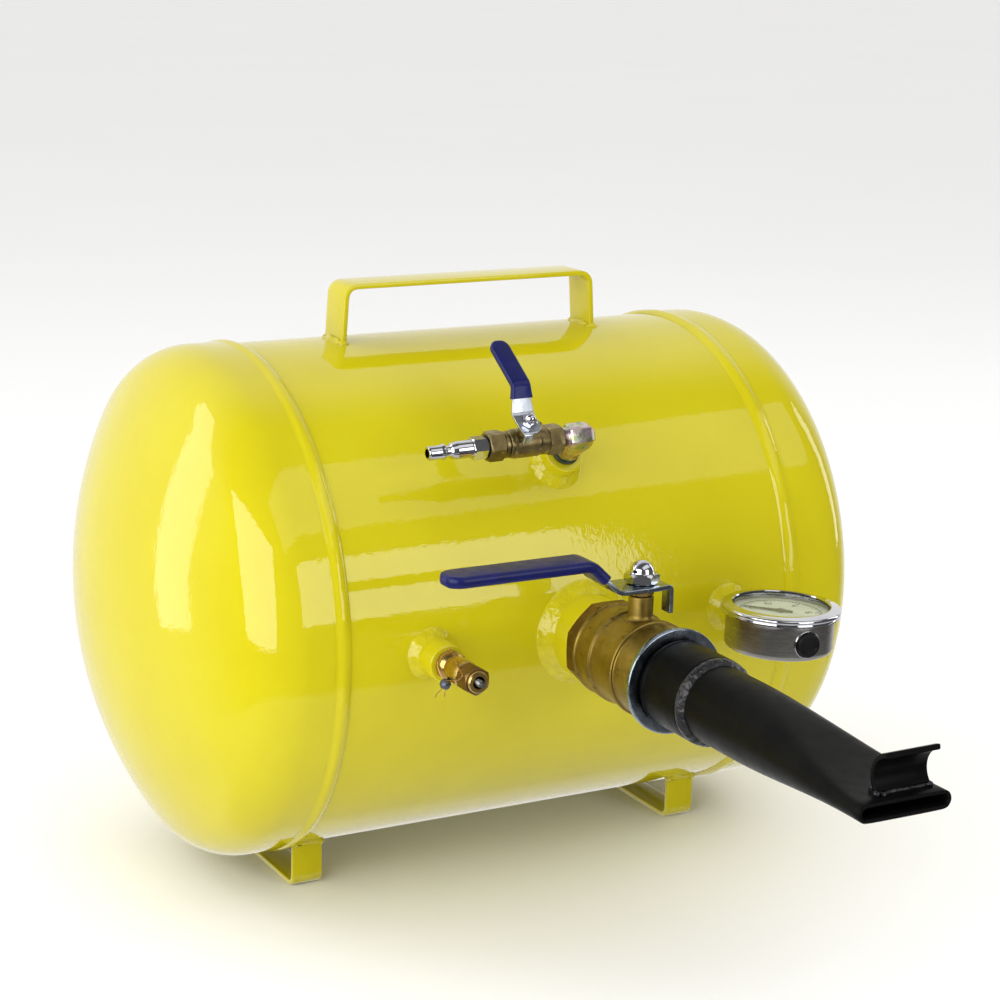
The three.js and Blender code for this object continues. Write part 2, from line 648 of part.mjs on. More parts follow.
function buildSafety(port) {
  const seat = bungs.safety.to + gap;
  const capFrom = 193;
  const capTo = 204;
  add(port, 'safety_body', carve(
    turned([[0, seat - 13], [6.5, seat - 13], [6.5, seat], [8.2, seat], [8.2, seat + 5],
      [6.6, seat + 7], [6.6, seat + 9], [7.6, seat + 11], [7.6, capFrom - gap],
      [0, capFrom - gap]]),
    [],
    [rod(2.4, seat - 20, 240, 12), rod(5, seat + 4, 240),
      alongX(rod(1.1, -20, 20, 10)).translate(0, 0, seat + 8)],
  ), 0xa8862f, 0.3, 1);
  add(port, 'safety_cap', carve(
    turned([[0, capFrom - 6], [4.7, capFrom - 6], [4.7, capFrom], [6, capFrom],
      [6, capTo - 1], [5.6, capTo + 2], [0, capTo + 2]]),
    [prism(14.3, capFrom, capTo)],
    [rod(3.4, capFrom - 10, 240, 16)],
  ), 0x8a6a2a, 0.3, 1);
  add(port, 'safety_poppet', turned([[0, seat + 5], [3, seat + 5], [4.5, seat + 6.2],
    [4.5, seat + 8], [1.9, seat + 8], [1.9, 210], [1.5, 210.6], [0, 210.6]], 16),
  0x7d7f78, 0.4, 1);
  const springFrom = seat + 8.7;
  const springTo = capFrom - 9;
  const turns = 4;
  class Coil extends THREE.Curve {
    getPoint(t) {
      const angle = 2 * Math.PI * turns * t;
      return new THREE.Vector3(3.3 * Math.cos(angle), 3.3 * Math.sin(angle),
        THREE.MathUtils.lerp(springFrom, springTo, t));
    }
  }
  const wire = outlineOf(arc([0, 0], 0.45, 0, 300, 5));
  add(port, 'safety_spring', new THREE.ExtrudeGeometry(wire, {
    steps: turns * 10, extrudePath: new Coil(), bevelEnabled: false,
  }), 0x9a9c9e, 0.3, 1);

  // Copper seal wire, twisted into a lead ball that hangs at the valve's left
  const loop = new THREE.CatmullRomCurve3([
    new THREE.Vector3(-8.4, -4.6, seat + 10),
    new THREE.Vector3(-8.8, 0, seat + 6),
    new THREE.Vector3(-5, 8.4, seat + 4),
    new THREE.Vector3(3, 9.4, seat + 8),
    new THREE.Vector3(5.4, 8.6, seat + 15),
    new THREE.Vector3(0, 9.2, seat + 18),
    new THREE.Vector3(-7, 6, seat + 17),
    new THREE.Vector3(-9.4, -2, seat + 14),
  ], true);
  const thin = outlineOf(arc([0, 0], 0.4, 0, 300, 5));
  const wireLoop = new THREE.ExtrudeGeometry(thin, {
    steps: 30, extrudePath: loop, bevelEnabled: false,
  });
  add(port, 'seal_wire', wireLoop, 0xb8693a, 0.3, 1);
  add(port, 'seal_lead', new THREE.SphereGeometry(3.3, 12, 8)
    .translate(-8.2, -8.4, seat + 11), 0x6d6f75, 0.6, 0.6);
}

// ---- pressure gauge ----------------------------------------------------------------------

// The gauge group's origin is where the stem's line meets the middle of the case; +Z is up
// out of the dial and +Y points back along the stem to the tank
function buildGauge(tank) {
  const gauge = new THREE.Group();
  gauge.position.set(gaugeX, gaugeY, gaugeZ);
  gauge.rotation.y = degrees(gaugeClock);
  tank.add(gauge);
  const caseRadius = 31;
  const bottom = -9.2;
  const rim = 13.3;
  const plugLevel = 1.3;
  const plugTurn = degrees(-4.6);
  add(gauge, 'gauge_case', carve(
    turned([[0, bottom], ...arc([caseRadius - 3, bottom + 3], 3, -90, 0, 3),
      [caseRadius, rim], [0, rim]], 36),
    [],
    [rod(caseRadius - 1, bottom + 1, rim + 5, 36), alongY(rod(6.9, 20, 60)),
      alongY(rod(4.6, -60, -20, 16)).translate(0, 0, plugLevel).rotateZ(plugTurn)],
  ), 0xa9a69c, 0.3, 1);
  add(gauge, 'gauge_bezel', ringSolid([[31.6, 11.4], [33.6, 11.4], [34.5, 12.6], [34.5, 14.6],
    [33, 16.8], [28.6, 17.2], [27.6, 16.4], [27.6, 15.9], [31.6, 15.9]], 36), 0xc9cbcd, 0.15, 1);
  add(gauge, 'gauge_lens', rod(31.3, 13.6, 15.6, 36), 0xf2f6f8, 0.02, 0);
  add(gauge, 'gauge_dial', tube(1.8, 29.6, 11.4, 12, 32), 0xf0efe8, 0.6, 0);

  // The dial reads from the stem's side round through the far side: rest is at zero
  const zero = degrees(45);
  const needle = outlineOf([[-1.5, 0], [-1.1, 6], [1.1, 6], [1.5, 0], [0.4, -22], [-0.4, -22]]);
  const pointer = carve(plate(needle, 12.5, 0.6), [rod(3, 12.5, 13.2, 16), rod(1.3, 6.4, 12.8, 12)],
    []);
  add(gauge, 'gauge_pointer', pointer.rotateZ(Math.PI + zero), 0x101010, 0.5, 0);
  add(gauge, 'gauge_movement', carve(box(17, 13, 1.6, 0, 0, 5), [
    box(17, 13, 1.6, 0, 0, -4), box(2, 10, 9, -7, 0, 0.5), box(2, 10, 9, 7, 0, 0.5),
  ], []), brass, 0.4, 1);
  add(gauge, 'gauge_stem', carve(
    alongY(turned([[0, 10], [6.5, 10], [6.5, 51], [0, 51]])),
    [alongY(prism(12.8, 32, 38.6, 4, 0.02)), box(14, 17, 10, 0, 19, 0)],
    [alongY(rod(2, 14, 60, 12))],
  ), brass, 0.35, 1);
  const tubeForm = outlineOf([
    ...arc([0, 0], 24, 115, 385, 14),
    ...arc([0, 0], 21, 385, 115, 14),
  ]);
  add(gauge, 'gauge_bourdon_tube', plate(tubeForm, -5, 8), 0xb7924a, 0.4, 1);
  add(gauge, 'gauge_fill_plug', alongY(turned([[0, -34.2], [6.6, -34.2], [7.2, -33.4],
    [7.2, -31.3], [4.3, -31.3], [4.3, -28], [0, -28]], 16)).translate(0, 0, plugLevel)
    .rotateZ(plugTurn), 0x121212, 0.7, 0);
}

// ---- whole object --------------------------------------------------------------------------

const object = new THREE.Group();
const tank = new THREE.Group();
tank.position.set(0, (mouthReach - backReach) / 2, groundBelowAxis);
object.add(tank);

buildTank(tank);
buildStraps(tank);

const mainPort = portGroup(tank, mainX, 0, 0);
addBung(mainPort, 'main');
buildOutlet(mainPort);

const safetyPort = portGroup(tank, safetyX, 0, 0);
addBung(safetyPort, 'safety');
buildSafety(safetyPort);

const gaugePort = portGroup(tank, gaugeX, gaugeZ, 0);
addBung(gaugePort, 'gauge');
buildGauge(tank);

const inletPort = portGroup(tank, inletX, 0, inletAngle);
addBung(inletPort, 'inlet');
buildInlet(tank, inletPort);

export default object;
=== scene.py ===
"""Looks for the bead seater blaster tank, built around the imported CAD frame.

Shapes are made in millimetres in the frame of the fitting they belong to, and placed in the
row frame in metres. Every fitting's frame has its Z along its port, away from the tank.
"""
from math import acos, asin, cos, degrees, hypot, pi, radians, sin, sqrt, tanh

import bmesh
import bpy
from mathutils import Matrix, Vector, noise


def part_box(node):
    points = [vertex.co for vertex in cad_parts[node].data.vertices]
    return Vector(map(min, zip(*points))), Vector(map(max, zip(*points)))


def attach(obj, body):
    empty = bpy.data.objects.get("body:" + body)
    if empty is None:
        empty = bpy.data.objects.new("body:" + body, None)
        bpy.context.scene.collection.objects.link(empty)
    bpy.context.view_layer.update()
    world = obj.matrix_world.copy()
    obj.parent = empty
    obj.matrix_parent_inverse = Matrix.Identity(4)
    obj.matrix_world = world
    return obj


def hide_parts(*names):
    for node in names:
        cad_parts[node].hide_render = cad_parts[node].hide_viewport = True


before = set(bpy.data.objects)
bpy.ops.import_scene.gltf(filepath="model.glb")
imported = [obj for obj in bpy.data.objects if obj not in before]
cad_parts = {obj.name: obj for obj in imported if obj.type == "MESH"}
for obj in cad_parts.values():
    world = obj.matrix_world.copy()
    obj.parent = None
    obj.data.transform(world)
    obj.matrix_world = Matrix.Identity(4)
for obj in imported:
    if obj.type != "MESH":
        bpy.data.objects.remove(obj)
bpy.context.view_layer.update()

MM = 0.001
GAP = 0.3    # room left between fittings that are screwed or welded together

# ---- places of the fittings ------------------------------------------------------------

shell_low, shell_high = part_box("tank_shell")
tank_centre = (shell_low + shell_high) / 2
tank_centre.x = 0

# Tank, in mm
WALL = 3.0
SHELL = 150.0
SHELL_HALF = 152.0
HEAD = 151.4
HEAD_KNUCKLE = 36.9
HEAD_FLANGE = 13.9
HEAD_DEPTH = 83.5
SEAM_WIDTH = 10.4
SEAM_RISE = 2.8
HEAD_SHOULDER = 1.5      # how far the bead fills the step up to the head

# Feet and handle, in mm and degrees
STRAP = 3.0
FOOT_X, FOOT_HALF, FOOT_WIDTH = 129.6, 63.4, 19.0
GROUND = -163.8
HANDLE_HALF, HANDLE_TOP, HANDLE_WIDTH = 83.5, 184.5, 25.0
HANDLE_SPLAY = 2.4

# Ports and fittings: places along the tank, angles above level, distances from the axis
MAIN_X = 4.0
SAFETY_X = -93.0
SAFETY_SEAT = 170.3
GAUGE_X, GAUGE_Y, GAUGE_Z = 101.8, -203.0, 3.0
GAUGE_CLOCK = 2.0
DIAL_QUARTER = -90       # the dial's print stands a quarter turn from the row's axes
INLET_X = 0.3
INLET_ANGLE = 38.2
INLET_ELBOW = 185.0
INLET_TOP = 163.0
SEAL_THICK = 2.6
INLET_STEM_ANGLE = 56.0
INLET_CLOCK = 1.0
OUTLET_STEM = 210.0
INLET_STEM = 38.2

# Barrel: a round pipe pressed flat towards its mouth
BARREL = 21.1
BARREL_WALL = 2.2
PRESS_FROM, PRESS_TO = 315, 445
SPREAD_FROM = 312
MOUTH = 450.0
MOUTH_HALF_WIDTH, MOUTH_HALF_HEIGHT = 27.2, 5
MOUTH_DROP = 0.7

# Camera
CAMERA_SPOT = (-0.675, -1.299, 0.410)
CAMERA_YAW, CAMERA_PITCH, CAMERA_ROLL = 28.45, 14.02, 1.23
FOCAL_LENGTH = 87.84


def place_at(x=0, y=0, z=0):
    """A frame parallel to the row's, at a point in mm from the middle of the tank."""
    return Matrix.Translation(tank_centre) @ Matrix.Scale(MM, 4) @ Matrix.Translation((x, y, z))


def turn_x(angle):
    return Matrix.Rotation(radians(angle), 4, "X")


def turn_y(angle):
    return Matrix.Rotation(radians(angle), 4, "Y")


def turn_z(angle):
    return Matrix.Rotation(radians(angle), 4, "Z")


def move(x=0, y=0, z=0):
    return Matrix.Translation((x, y, z))


def port(x, z, angle):
    """Frame of a port: origin on the tank's axis, Z out along the port, X along the tank."""
    return place_at(x, 0, z) @ turn_x(90 - angle)


TANK = place_at()
ALONG_X = turn_y(90)
MAIN = port(MAIN_X, 0, 0)
SAFETY = port(SAFETY_X, 0, 0)
GAUGE_PORT = port(GAUGE_X, GAUGE_Z, 0)
INLET = port(INLET_X, 0, INLET_ANGLE)
GAUGE = place_at(GAUGE_X, GAUGE_Y, GAUGE_Z) @ turn_y(GAUGE_CLOCK)
ELBOW = INLET @ move(z=INLET_ELBOW) @ turn_z(INLET_CLOCK)


def inlet_valve_frame():
    """Flow along Z towards the quick plug, stem along Y, lever along -X when shut."""
    rise = radians(INLET_ANGLE)
    stem_rise = radians(INLET_STEM_ANGLE)
    outwards = Vector((0, -cos(rise), sin(rise)))
    clock = Matrix.Rotation(radians(INLET_CLOCK), 3, outwards)
    stem = clock @ Vector((0, -cos(stem_rise), sin(stem_rise)))
    flow = clock @ Vector((-1, 0, 0))
    across = stem.cross(flow)
    basis = Matrix((across, stem, flow)).transposed().to_4x4()
    spot = outwards * INLET_ELBOW
    return place_at(INLET_X, spot.y, spot.z) @ basis


INLET_VALVE = inlet_valve_frame()

# ---- mesh code -------------------------------------------------------------------------


def arc(centre, radius, start, end, steps):
    """Points on an arc between two angles in degrees."""
    result = []
    for i in range(steps + 1):
        a = radians(start + (end - start) * i / steps)
        result.append((centre[0] + radius * cos(a), centre[1] + radius * sin(a)))
    return result


def fillet(points, radius, steps=4, ring=False):
    """Rounds the corners of a line of 2D points. radius is one number or one per point."""
    count = len(points)
    result = []
    for i, p in enumerate(points):
        r = radius[i] if isinstance(radius, (list, tuple)) else radius
        if r <= 0 or (not ring and i in (0, count - 1)):
            result.append(p)
            continue
        p = Vector(p)
        a = Vector(points[i - 1]) - p
        b = Vector(points[(i + 1) % count]) - p
        if a.length < 1e-9 or b.length < 1e-9:
            continue
        cosine = max(-1, min(1, a.normalized().dot(b.normalized())))
        half = acos(cosine) / 2
        if half > radians(87) or half < 1e-3:
            result.append(tuple(p))
            continue
        reach = min(r / sin(half) * cos(half), a.length * 0.49, b.length * 0.49)
        start = p + a.normalized() * reach
        end = p + b.normalized() * reach
        for k in range(steps + 1):
            t = k / steps
            q = start * (1 - t) ** 2 + p * 2 * t * (1 - t) + end * t ** 2
            result.append(tuple(q))
    return result


def loft(rings, caps=True, closed=False):
    """Joins rings of as many 3D points each. closed joins the last ring to the first."""
    size = len(rings[0])
    verts = [tuple(p) for ring in rings for p in ring]
    faces = []
    spans = len(rings) if closed else len(rings) - 1
    for r in range(spans):
        a, b = r * size, ((r + 1) % len(rings)) * size
        for i in range(size):
            j = (i + 1) % size
            faces.append((a + i, a + j, b + j, b + i))
    if caps and not closed:
        faces.append(tuple(range(size))[::-1])
        faces.append(tuple((len(rings) - 1) * size + i for i in range(size)))
    return verts, faces


def lathe(profile, sides=96, warp=None):
    """Turns [radius, height] points about Z. A radius of 0 makes a pole."""
    verts, faces, rows = [], [], []
    for radius, height in profile:
        if radius < 1e-6:
            rows.append([len(verts)])
            verts.append((0, 0, height))
            continue
        rows.append(list(range(len(verts), len(verts) + sides)))
        for i in range(sides):
            a = 2 * pi * i / sides
            r, z = warp(radius, height, a) if warp else (radius, height)
            verts.append((r * cos(a), r * sin(a), z))
    closed = profile[0][0] > 1e-6 and profile[-1][0] > 1e-6
    pairs = list(zip(rows, rows[1:] + rows[:1])) if closed else list(zip(rows, rows[1:]))
    for a, b in pairs:
        for i in range(sides):
            j = (i + 1) % sides
            if len(a) == 1 and len(b) == 1:
                continue
            if len(a) == 1:
                faces.append((a[0], b[j], b[i]))
            elif len(b) == 1:
                faces.append((a[i], a[j], b[0]))
            else:
                faces.append((a[i], a[j], b[j], b[i]))
    return verts, faces


def extrude(outline, low, high):
    """A closed outline in X and Y between two levels of Z."""
    return loft([[(x, y, low) for x, y in outline], [(x, y, high) for x, y in outline]])


def polygon(flats, sides=6, start=0.5):
    corner = flats / 2 / cos(pi / sides)
    return [(corner * cos(2 * pi * (i + start) / sides), corner * sin(2 * pi * (i + start) / sides))
            for i in range(sides)]


def nut_block(flats, low, high, sides=6, bore=0, chamfer=0.07, steps=12):
    """A prism with flat sides whose corners are turned down to a cone at both ends."""
    drop_full = flats * chamfer
    inscribed = flats / 2
    around = sides * steps
    rows = []
    levels = [(low, 0), (low, 1), (None, 2), (None, 3), (high, 1), (high, 0)]
    for level, kind in levels:
        row = []
        for i in range(around):
            a = 2 * pi * i / around
            local = (a + pi / sides) % (2 * pi / sides) - pi / sides
            r = inscribed / cos(local)
            cone = inscribed * 0.96
            if kind == 0:
                r, z = bore if bore else 0.01, level
            elif kind == 1:
                z, r = level, min(cone, r)
            else:
                drop = max(0.02, (r - cone) / (inscribed / cos(pi / sides) - cone) * drop_full)
                z = low + drop if kind == 2 else high - drop
            row.append((r * cos(a), r * sin(a), z))
        rows.append(row)
    return loft(rows, caps=False, closed=True) if bore else loft(rows)


def wire(points, radius, sides=10, closed=False):
    """A round tube along a line of 3D points."""
    points = [Vector(p) for p in points]
    count = len(points)
    rings = []
    side = None
    for i, p in enumerate(points):
        before = points[i - 1] if closed or i else points[i]
        after = points[(i + 1) % count] if closed or i < count - 1 else points[i]
        along = (after - before).normalized()
        if side is None:
            side = along.orthogonal().normalized()
        side = (side - along * side.dot(along)).normalized()
        up = along.cross(side)
        rings.append([p + (side * cos(2 * pi * k / sides) + up * sin(2 * pi * k / sides)) * radius
                      for k in range(sides)])
    return loft(rings, caps=not closed, closed=closed)


def smooth_line(points, steps=6, closed=False):
    """A Catmull-Rom line through 3D points."""
    points = [Vector(p) for p in points]
    count = len(points)
    result = []
    spans = count if closed else count - 1
    for i in range(spans):
        p = [points[(i + k) % count] if closed else points[max(0, min(count - 1, i + k))]
             for k in (-1, 0, 1, 2)]
        for k in range(steps):
            t = k / steps
            result.append(0.5 * (2 * p[1] + (p[2] - p[0]) * t
                                 + (2 * p[0] - 5 * p[1] + 4 * p[2] - p[3]) * t ** 2
                                 + (3 * p[1] - p[0] - 3 * p[2] + p[3]) * t ** 3))
    if not closed:
        result.append(points[-1])
    return result


def moved(part, matrix):
    verts, faces = part
    return [tuple(matrix @ Vector(v)) for v in verts], faces


def angles(count):
    """Evenly spaced angles round a circle."""
    return [2 * pi * i / count for i in range(count)]


def noise_at(x, y, z):
    return noise.noise(Vector((x, y, z)))


def bar_section(width, thick, rounding, steps):
    """Outline of a flat bar with rounded edges."""
    return fillet([(-width / 2, -thick / 2), (width / 2, -thick / 2), (width / 2, thick / 2),
                   (-width / 2, thick / 2)], rounding, steps, ring=True)


def add_object(name, data):
    obj = bpy.data.objects.new(name, data)
    bpy.context.scene.collection.objects.link(obj)
    return obj


def piece(name, parts, place, material, nodes=(), sharp=40, body="tank"):
    """One visible mesh made of parts, in place in the row frame and riding on a body."""
    bm = bmesh.new()
    for verts, faces in parts:
        made = [bm.verts.new(v) for v in verts]
        for f in faces:
            if len(set(f)) > 2:
                bm.faces.new([made[i] for i in f])
    bmesh.ops.remove_doubles(bm, verts=bm.verts, dist=1e-4)
    bmesh.ops.dissolve_degenerate(bm, edges=bm.edges, dist=1e-5)
    bmesh.ops.recalc_face_normals(bm, faces=bm.faces)
    bmesh.ops.transform(bm, matrix=place, verts=bm.verts)
    mesh = bpy.data.meshes.new(name)
    bm.to_mesh(mesh)
    bm.free()
    mesh.shade_smooth()
    mesh.set_sharp_from_angle(angle=radians(sharp))
    mesh.materials.append(material)
    obj = add_object(name, mesh)
    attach(obj, body)
    if nodes:
        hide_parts(*nodes)


# ---- materials -------------------------------------------------------------------------


def add_node(tree, kind, **values):
    """A shader node with some sockets set by name, with underscores for spaces."""
    node = tree.nodes.new("ShaderNode" + kind)
    set_inputs(node, **values)
    return node


def set_inputs(node, **values):
    for name, value in values.items():
        node.inputs[name.replace("_", " ")].default_value = value


def socket_mix(tree, factor, a, b):
    """A colour mixed from a to b by a factor socket."""
    node = add_node(tree, "Mix")
    node.data_type = "RGBA"
    tree.links.new(factor, node.inputs["Factor"])
    for value, index in ((a, 6), (b, 7)):
        if isinstance(value, tuple):
            node.inputs[index].default_value = (*value, 1)
        else:
            tree.links.new(value, node.inputs[index])
    return node.outputs[2]


def pattern(tree, scale, low, high, detail=3.0, stretch=(1, 1, 1), seed=0.0):
    """A noise in object space, cut to a 0 to 1 ramp between two of its values."""
    link = tree.links.new
    place = add_node(tree, "TexCoord")
    mapping = add_node(tree, "Mapping", Scale=stretch, Location=(seed, seed * 0.7, seed * 1.3))
    texture = add_node(tree, "TexNoise", Scale=scale, Detail=detail, Roughness=0.55)
    ramp = add_node(tree, "MapRange", From_Min=low, From_Max=high)
    link(place.outputs["Object"], mapping.inputs["Vector"])
    link(mapping.outputs["Vector"], texture.inputs["Vector"])
    link(texture.outputs["Fac"], ramp.inputs["Value"])
    return ramp.outputs["Result"]


def surface(name, colour, rough, metal=0.0, second=None, spread=(60, 0.4, 0.65),
            third=None, spots=(400, 0.6, 0.7), rough_to=None, rough_scale=150,
            bumps=(), coat=0.0, coat_rough=0.03, alpha=1.0, stretch=(1, 1, 1), level=0.5):
    """A principled material whose colour, roughness and height come from noises.

    spread and spots are the scale and the two cut values of the noises that lay second and
    third over colour. Each of bumps is a scale, a strength, a depth in metres and a stretch."""
    material = bpy.data.materials.new(name)
    material.use_nodes = True
    tree = material.node_tree
    link = tree.links.new
    shader = tree.nodes["Principled BSDF"]
    set_inputs(shader, Metallic=metal, Coat_Weight=coat, Coat_Roughness=coat_rough, Alpha=alpha,
               Specular_IOR_Level=level)
    tone = pattern(tree, *spread, stretch=stretch)
    output = socket_mix(tree, tone, colour, second or tuple(c * 0.9 for c in colour))
    if third:
        output = socket_mix(tree, pattern(tree, *spots, seed=3.1), output, third)
    link(output, shader.inputs["Base Color"])
    ramp = add_node(tree, "MapRange", To_Min=rough, To_Max=rough_to or rough * 1.25)
    wear = pattern(tree, rough_scale, 0.35, 0.68, stretch=stretch, seed=1.7)
    link(wear, ramp.inputs["Value"])
    link(ramp.outputs["Result"], shader.inputs["Roughness"])
    normal = None
    for scale, strength, depth, *along in bumps:
        bump = add_node(tree, "Bump", Strength=strength, Distance=depth)
        height = pattern(tree, scale, 0.3, 0.7, detail=2.0,
                         stretch=along[0] if along else (1, 1, 1), seed=scale * 0.01)
        link(height, bump.inputs["Height"])
        if normal:
            link(normal, bump.inputs["Normal"])
        normal = bump.outputs["Normal"]
    if normal:
        link(normal, shader.inputs["Normal"])
        if coat:
            link(normal, shader.inputs["Coat Normal"])
    return material


PAINT = surface(
    "yellow_gloss_paint", (0.53, 0.465, 0.008), 0.5, second=(0.50, 0.43, 0.006),
    spread=(14, 0.3, 0.7), rough_to=0.6, rough_scale=40, coat=1.0, coat_rough=0.03, level=0.0,
    bumps=((12, 0.25, 0.0006), (260, 0.32, 0.00008)))
PAINT_WELD = surface(
    "yellow_paint_over_weld", (0.52, 0.455, 0.008), 0.5, second=(0.46, 0.39, 0.006),
    spread=(160, 0.35, 0.7), rough_to=0.6, coat=1.0, coat_rough=0.05, level=0.0,
    bumps=((180, 0.5, 0.0006), (520, 0.35, 0.0002)))
BRASS = surface(
    "tumbled_brass", (0.36, 0.255, 0.062), 0.34, 1.0, second=(0.25, 0.172, 0.038),
    spread=(70, 0.38, 0.66), third=(0.15, 0.095, 0.028), spots=(260, 0.60, 0.72),
    rough_to=0.5, bumps=((900, 0.35, 0.00006), (160, 0.2, 0.0002)))
BRASS_HEX = surface(
    "dark_sawn_brass", (0.25, 0.15, 0.05), 0.36, 1.0, second=(0.16, 0.09, 0.035),
    spread=(90, 0.36, 0.66), third=(0.36, 0.25, 0.09), spots=(300, 0.62, 0.72),
    rough_to=0.5, bumps=((700, 0.35, 0.00008),))
OLIVE_BRASS = surface(
    "olive_brass", (0.30, 0.235, 0.10), 0.30, 1.0, second=(0.155, 0.115, 0.05),
    spread=(110, 0.36, 0.66), third=(0.48, 0.40, 0.20), spots=(240, 0.60, 0.72),
    rough_to=0.46, bumps=((900, 0.35, 0.00006),))
MACHINED_BRASS = surface(
    "machined_brass", (0.66, 0.45, 0.15), 0.22, 1.0, second=(0.50, 0.33, 0.10),
    spread=(120, 0.36, 0.66), rough_to=0.34, bumps=((1200, 0.2, 0.00003),))
CHROME = surface(
    "polished_chrome", (0.66, 0.67, 0.70), 0.045, 1.0, second=(0.58, 0.58, 0.64),
    spread=(60, 0.4, 0.6), rough_to=0.09, bumps=((90, 0.08, 0.0002),))
ZINC = surface(
    "bright_zinc", (0.34, 0.39, 0.45), 0.16, 1.0, second=(0.22, 0.26, 0.31),
    spread=(220, 0.36, 0.66), third=(0.46, 0.50, 0.53), spots=(340, 0.60, 0.74),
    rough_to=0.30, bumps=((700, 0.25, 0.00005),))
WHITE_ZINC = surface(
    "pale_zinc", (0.58, 0.61, 0.66), 0.24, 0.95, second=(0.44, 0.47, 0.52),
    spread=(240, 0.36, 0.66), rough_to=0.36, bumps=((700, 0.2, 0.00004),))
VINYL = surface(
    "navy_dipped_vinyl", (0.005, 0.008, 0.090), 0.30, second=(0.006, 0.008, 0.062),
    spread=(90, 0.35, 0.65), rough_to=0.40, level=0.16, coat=0.16, coat_rough=0.10,
    bumps=((150, 0.22, 0.0003), (900, 0.1, 0.00005)))
BLACK = surface(
    "satin_black_coat", (0.0022, 0.0022, 0.0024), 0.30, second=(0.0036, 0.0036, 0.0033),
    spread=(60, 0.35, 0.65), rough_to=0.40, level=0.05,
    bumps=((800, 0.2, 0.00005), (50, 0.18, 0.0004)))
BLACK_WELD = surface(
    "black_coat_over_weld", (0.003, 0.003, 0.004), 0.24, second=(0.008, 0.007, 0.011),
    spread=(400, 0.45, 0.7), rough_to=0.45, level=0.5,
    bumps=((260, 0.7, 0.0008), (700, 0.4, 0.0002)))
GREEN_SEAL = surface(
    "green_black_seal", (0.006, 0.030, 0.020), 0.3, second=(0.004, 0.006, 0.006),
    spread=(260, 0.4, 0.6), rough_to=0.45, coat=0.4, bumps=((500, 0.3, 0.0001),))
RUBBER = surface(
    "black_rubber", (0.003, 0.003, 0.0035), 0.42, second=(0.006, 0.006, 0.006),
    rough_to=0.55, level=0.2, bumps=((900, 0.3, 0.00005),))
STEEL_THREAD = surface(
    "grey_threaded_steel", (0.30, 0.30, 0.27), 0.34, 1.0, second=(0.17, 0.165, 0.15),
    spread=(300, 0.4, 0.65), rough_to=0.5, bumps=((900, 0.3, 0.00005),))
COPPER = surface(
    "copper_wire", (0.66, 0.38, 0.22), 0.26, 1.0, second=(0.42, 0.20, 0.10),
    spread=(300, 0.4, 0.65), rough_to=0.42, bumps=((1200, 0.2, 0.00003),))
LEAD = surface(
    "dull_lead", (0.16, 0.18, 0.23), 0.34, 0.9, second=(0.09, 0.095, 0.13),
    spread=(280, 0.38, 0.66), rough_to=0.62, bumps=((420, 0.5, 0.0004),))
CASE_STEEL = surface(
    "brushed_stainless", (0.40, 0.385, 0.36), 0.27, 1.0, second=(0.31, 0.30, 0.29),
    spread=(60, 0.35, 0.65), stretch=(1, 1, 14), rough_to=0.36,
    bumps=((90, 0.12, 0.00005, (1, 1, 22)), (600, 0.1, 0.00002)))
LENS = surface(
    "gauge_window", (0.62, 0.68, 0.55), 0.02, second=(0.56, 0.62, 0.50), rough_to=0.03,
    alpha=0.14, level=1.0, coat=1.0, coat_rough=0.01)
DIAL = surface(
    "dial_face", (0.60, 0.63, 0.50), 0.5, second=(0.54, 0.57, 0.46), spread=(90, 0.4, 0.62),
    rough_to=0.6, bumps=((900, 0.1, 0.00003),))
INK = surface(
    "dial_ink", (0.03, 0.035, 0.03), 0.5, second=(0.05, 0.05, 0.045), rough_to=0.6,
    bumps=((900, 0.1, 0.00002),))
PTFE = surface(
    "white_seat", (0.80, 0.79, 0.75), 0.4, second=(0.74, 0.73, 0.69), rough_to=0.5,
    bumps=((600, 0.1, 0.00003),))


def rainbow_zinc():
    """Yellow passivated zinc: purple, green and gold drift over a bright metal."""
    material = surface("iridescent_zinc", (0.55, 0.50, 0.36), 0.24, 1.0, rough_to=0.42,
                       bumps=((600, 0.3, 0.00006), (150, 0.25, 0.0003)))
    tree = material.node_tree
    ramp = add_node(tree, "ValToRGB")
    bands = ((0.30, (0.28, 0.17, 0.10)), (0.40, (0.56, 0.42, 0.40)), (0.48, (0.62, 0.50, 0.60)),
             (0.55, (0.66, 0.62, 0.44)), (0.62, (0.34, 0.46, 0.32)), (0.72, (0.50, 0.36, 0.14)))
    while len(ramp.color_ramp.elements) < len(bands):
        ramp.color_ramp.elements.new(0.5)
    for element, (spot, colour) in zip(ramp.color_ramp.elements, bands):
        element.position = spot
        element.color = (*colour, 1)
    tree.links.new(pattern(tree, 130, 0.1, 0.9, seed=5.0), ramp.inputs["Fac"])
    tree.links.new(ramp.outputs["Color"], tree.nodes["Principled BSDF"].inputs["Base Color"])
    return material


RAINBOW = rainbow_zinc()

# ---- tank ------------------------------------------------------------------------------
# A profile is a list of radii and heights in mm, turned about its fitting's Z.


def head_profile(radius, knuckle, flange, depth, steps):
    dish = depth - flange
    side = radius - knuckle
    crown = (side ** 2 + dish ** 2 - knuckle ** 2) / (2 * (dish - knuckle))
    crown_angle = degrees(asin(side / (crown - knuckle)))
    points = [(radius, 0), (radius, flange * 0.5)]
    points += arc((side, flange), knuckle, 0, 90 - crown_angle, steps)
    points += arc((0, depth - crown), crown, 90 - crown_angle, 90, steps * 2)[1:-1]
    return points + [(0, depth)]


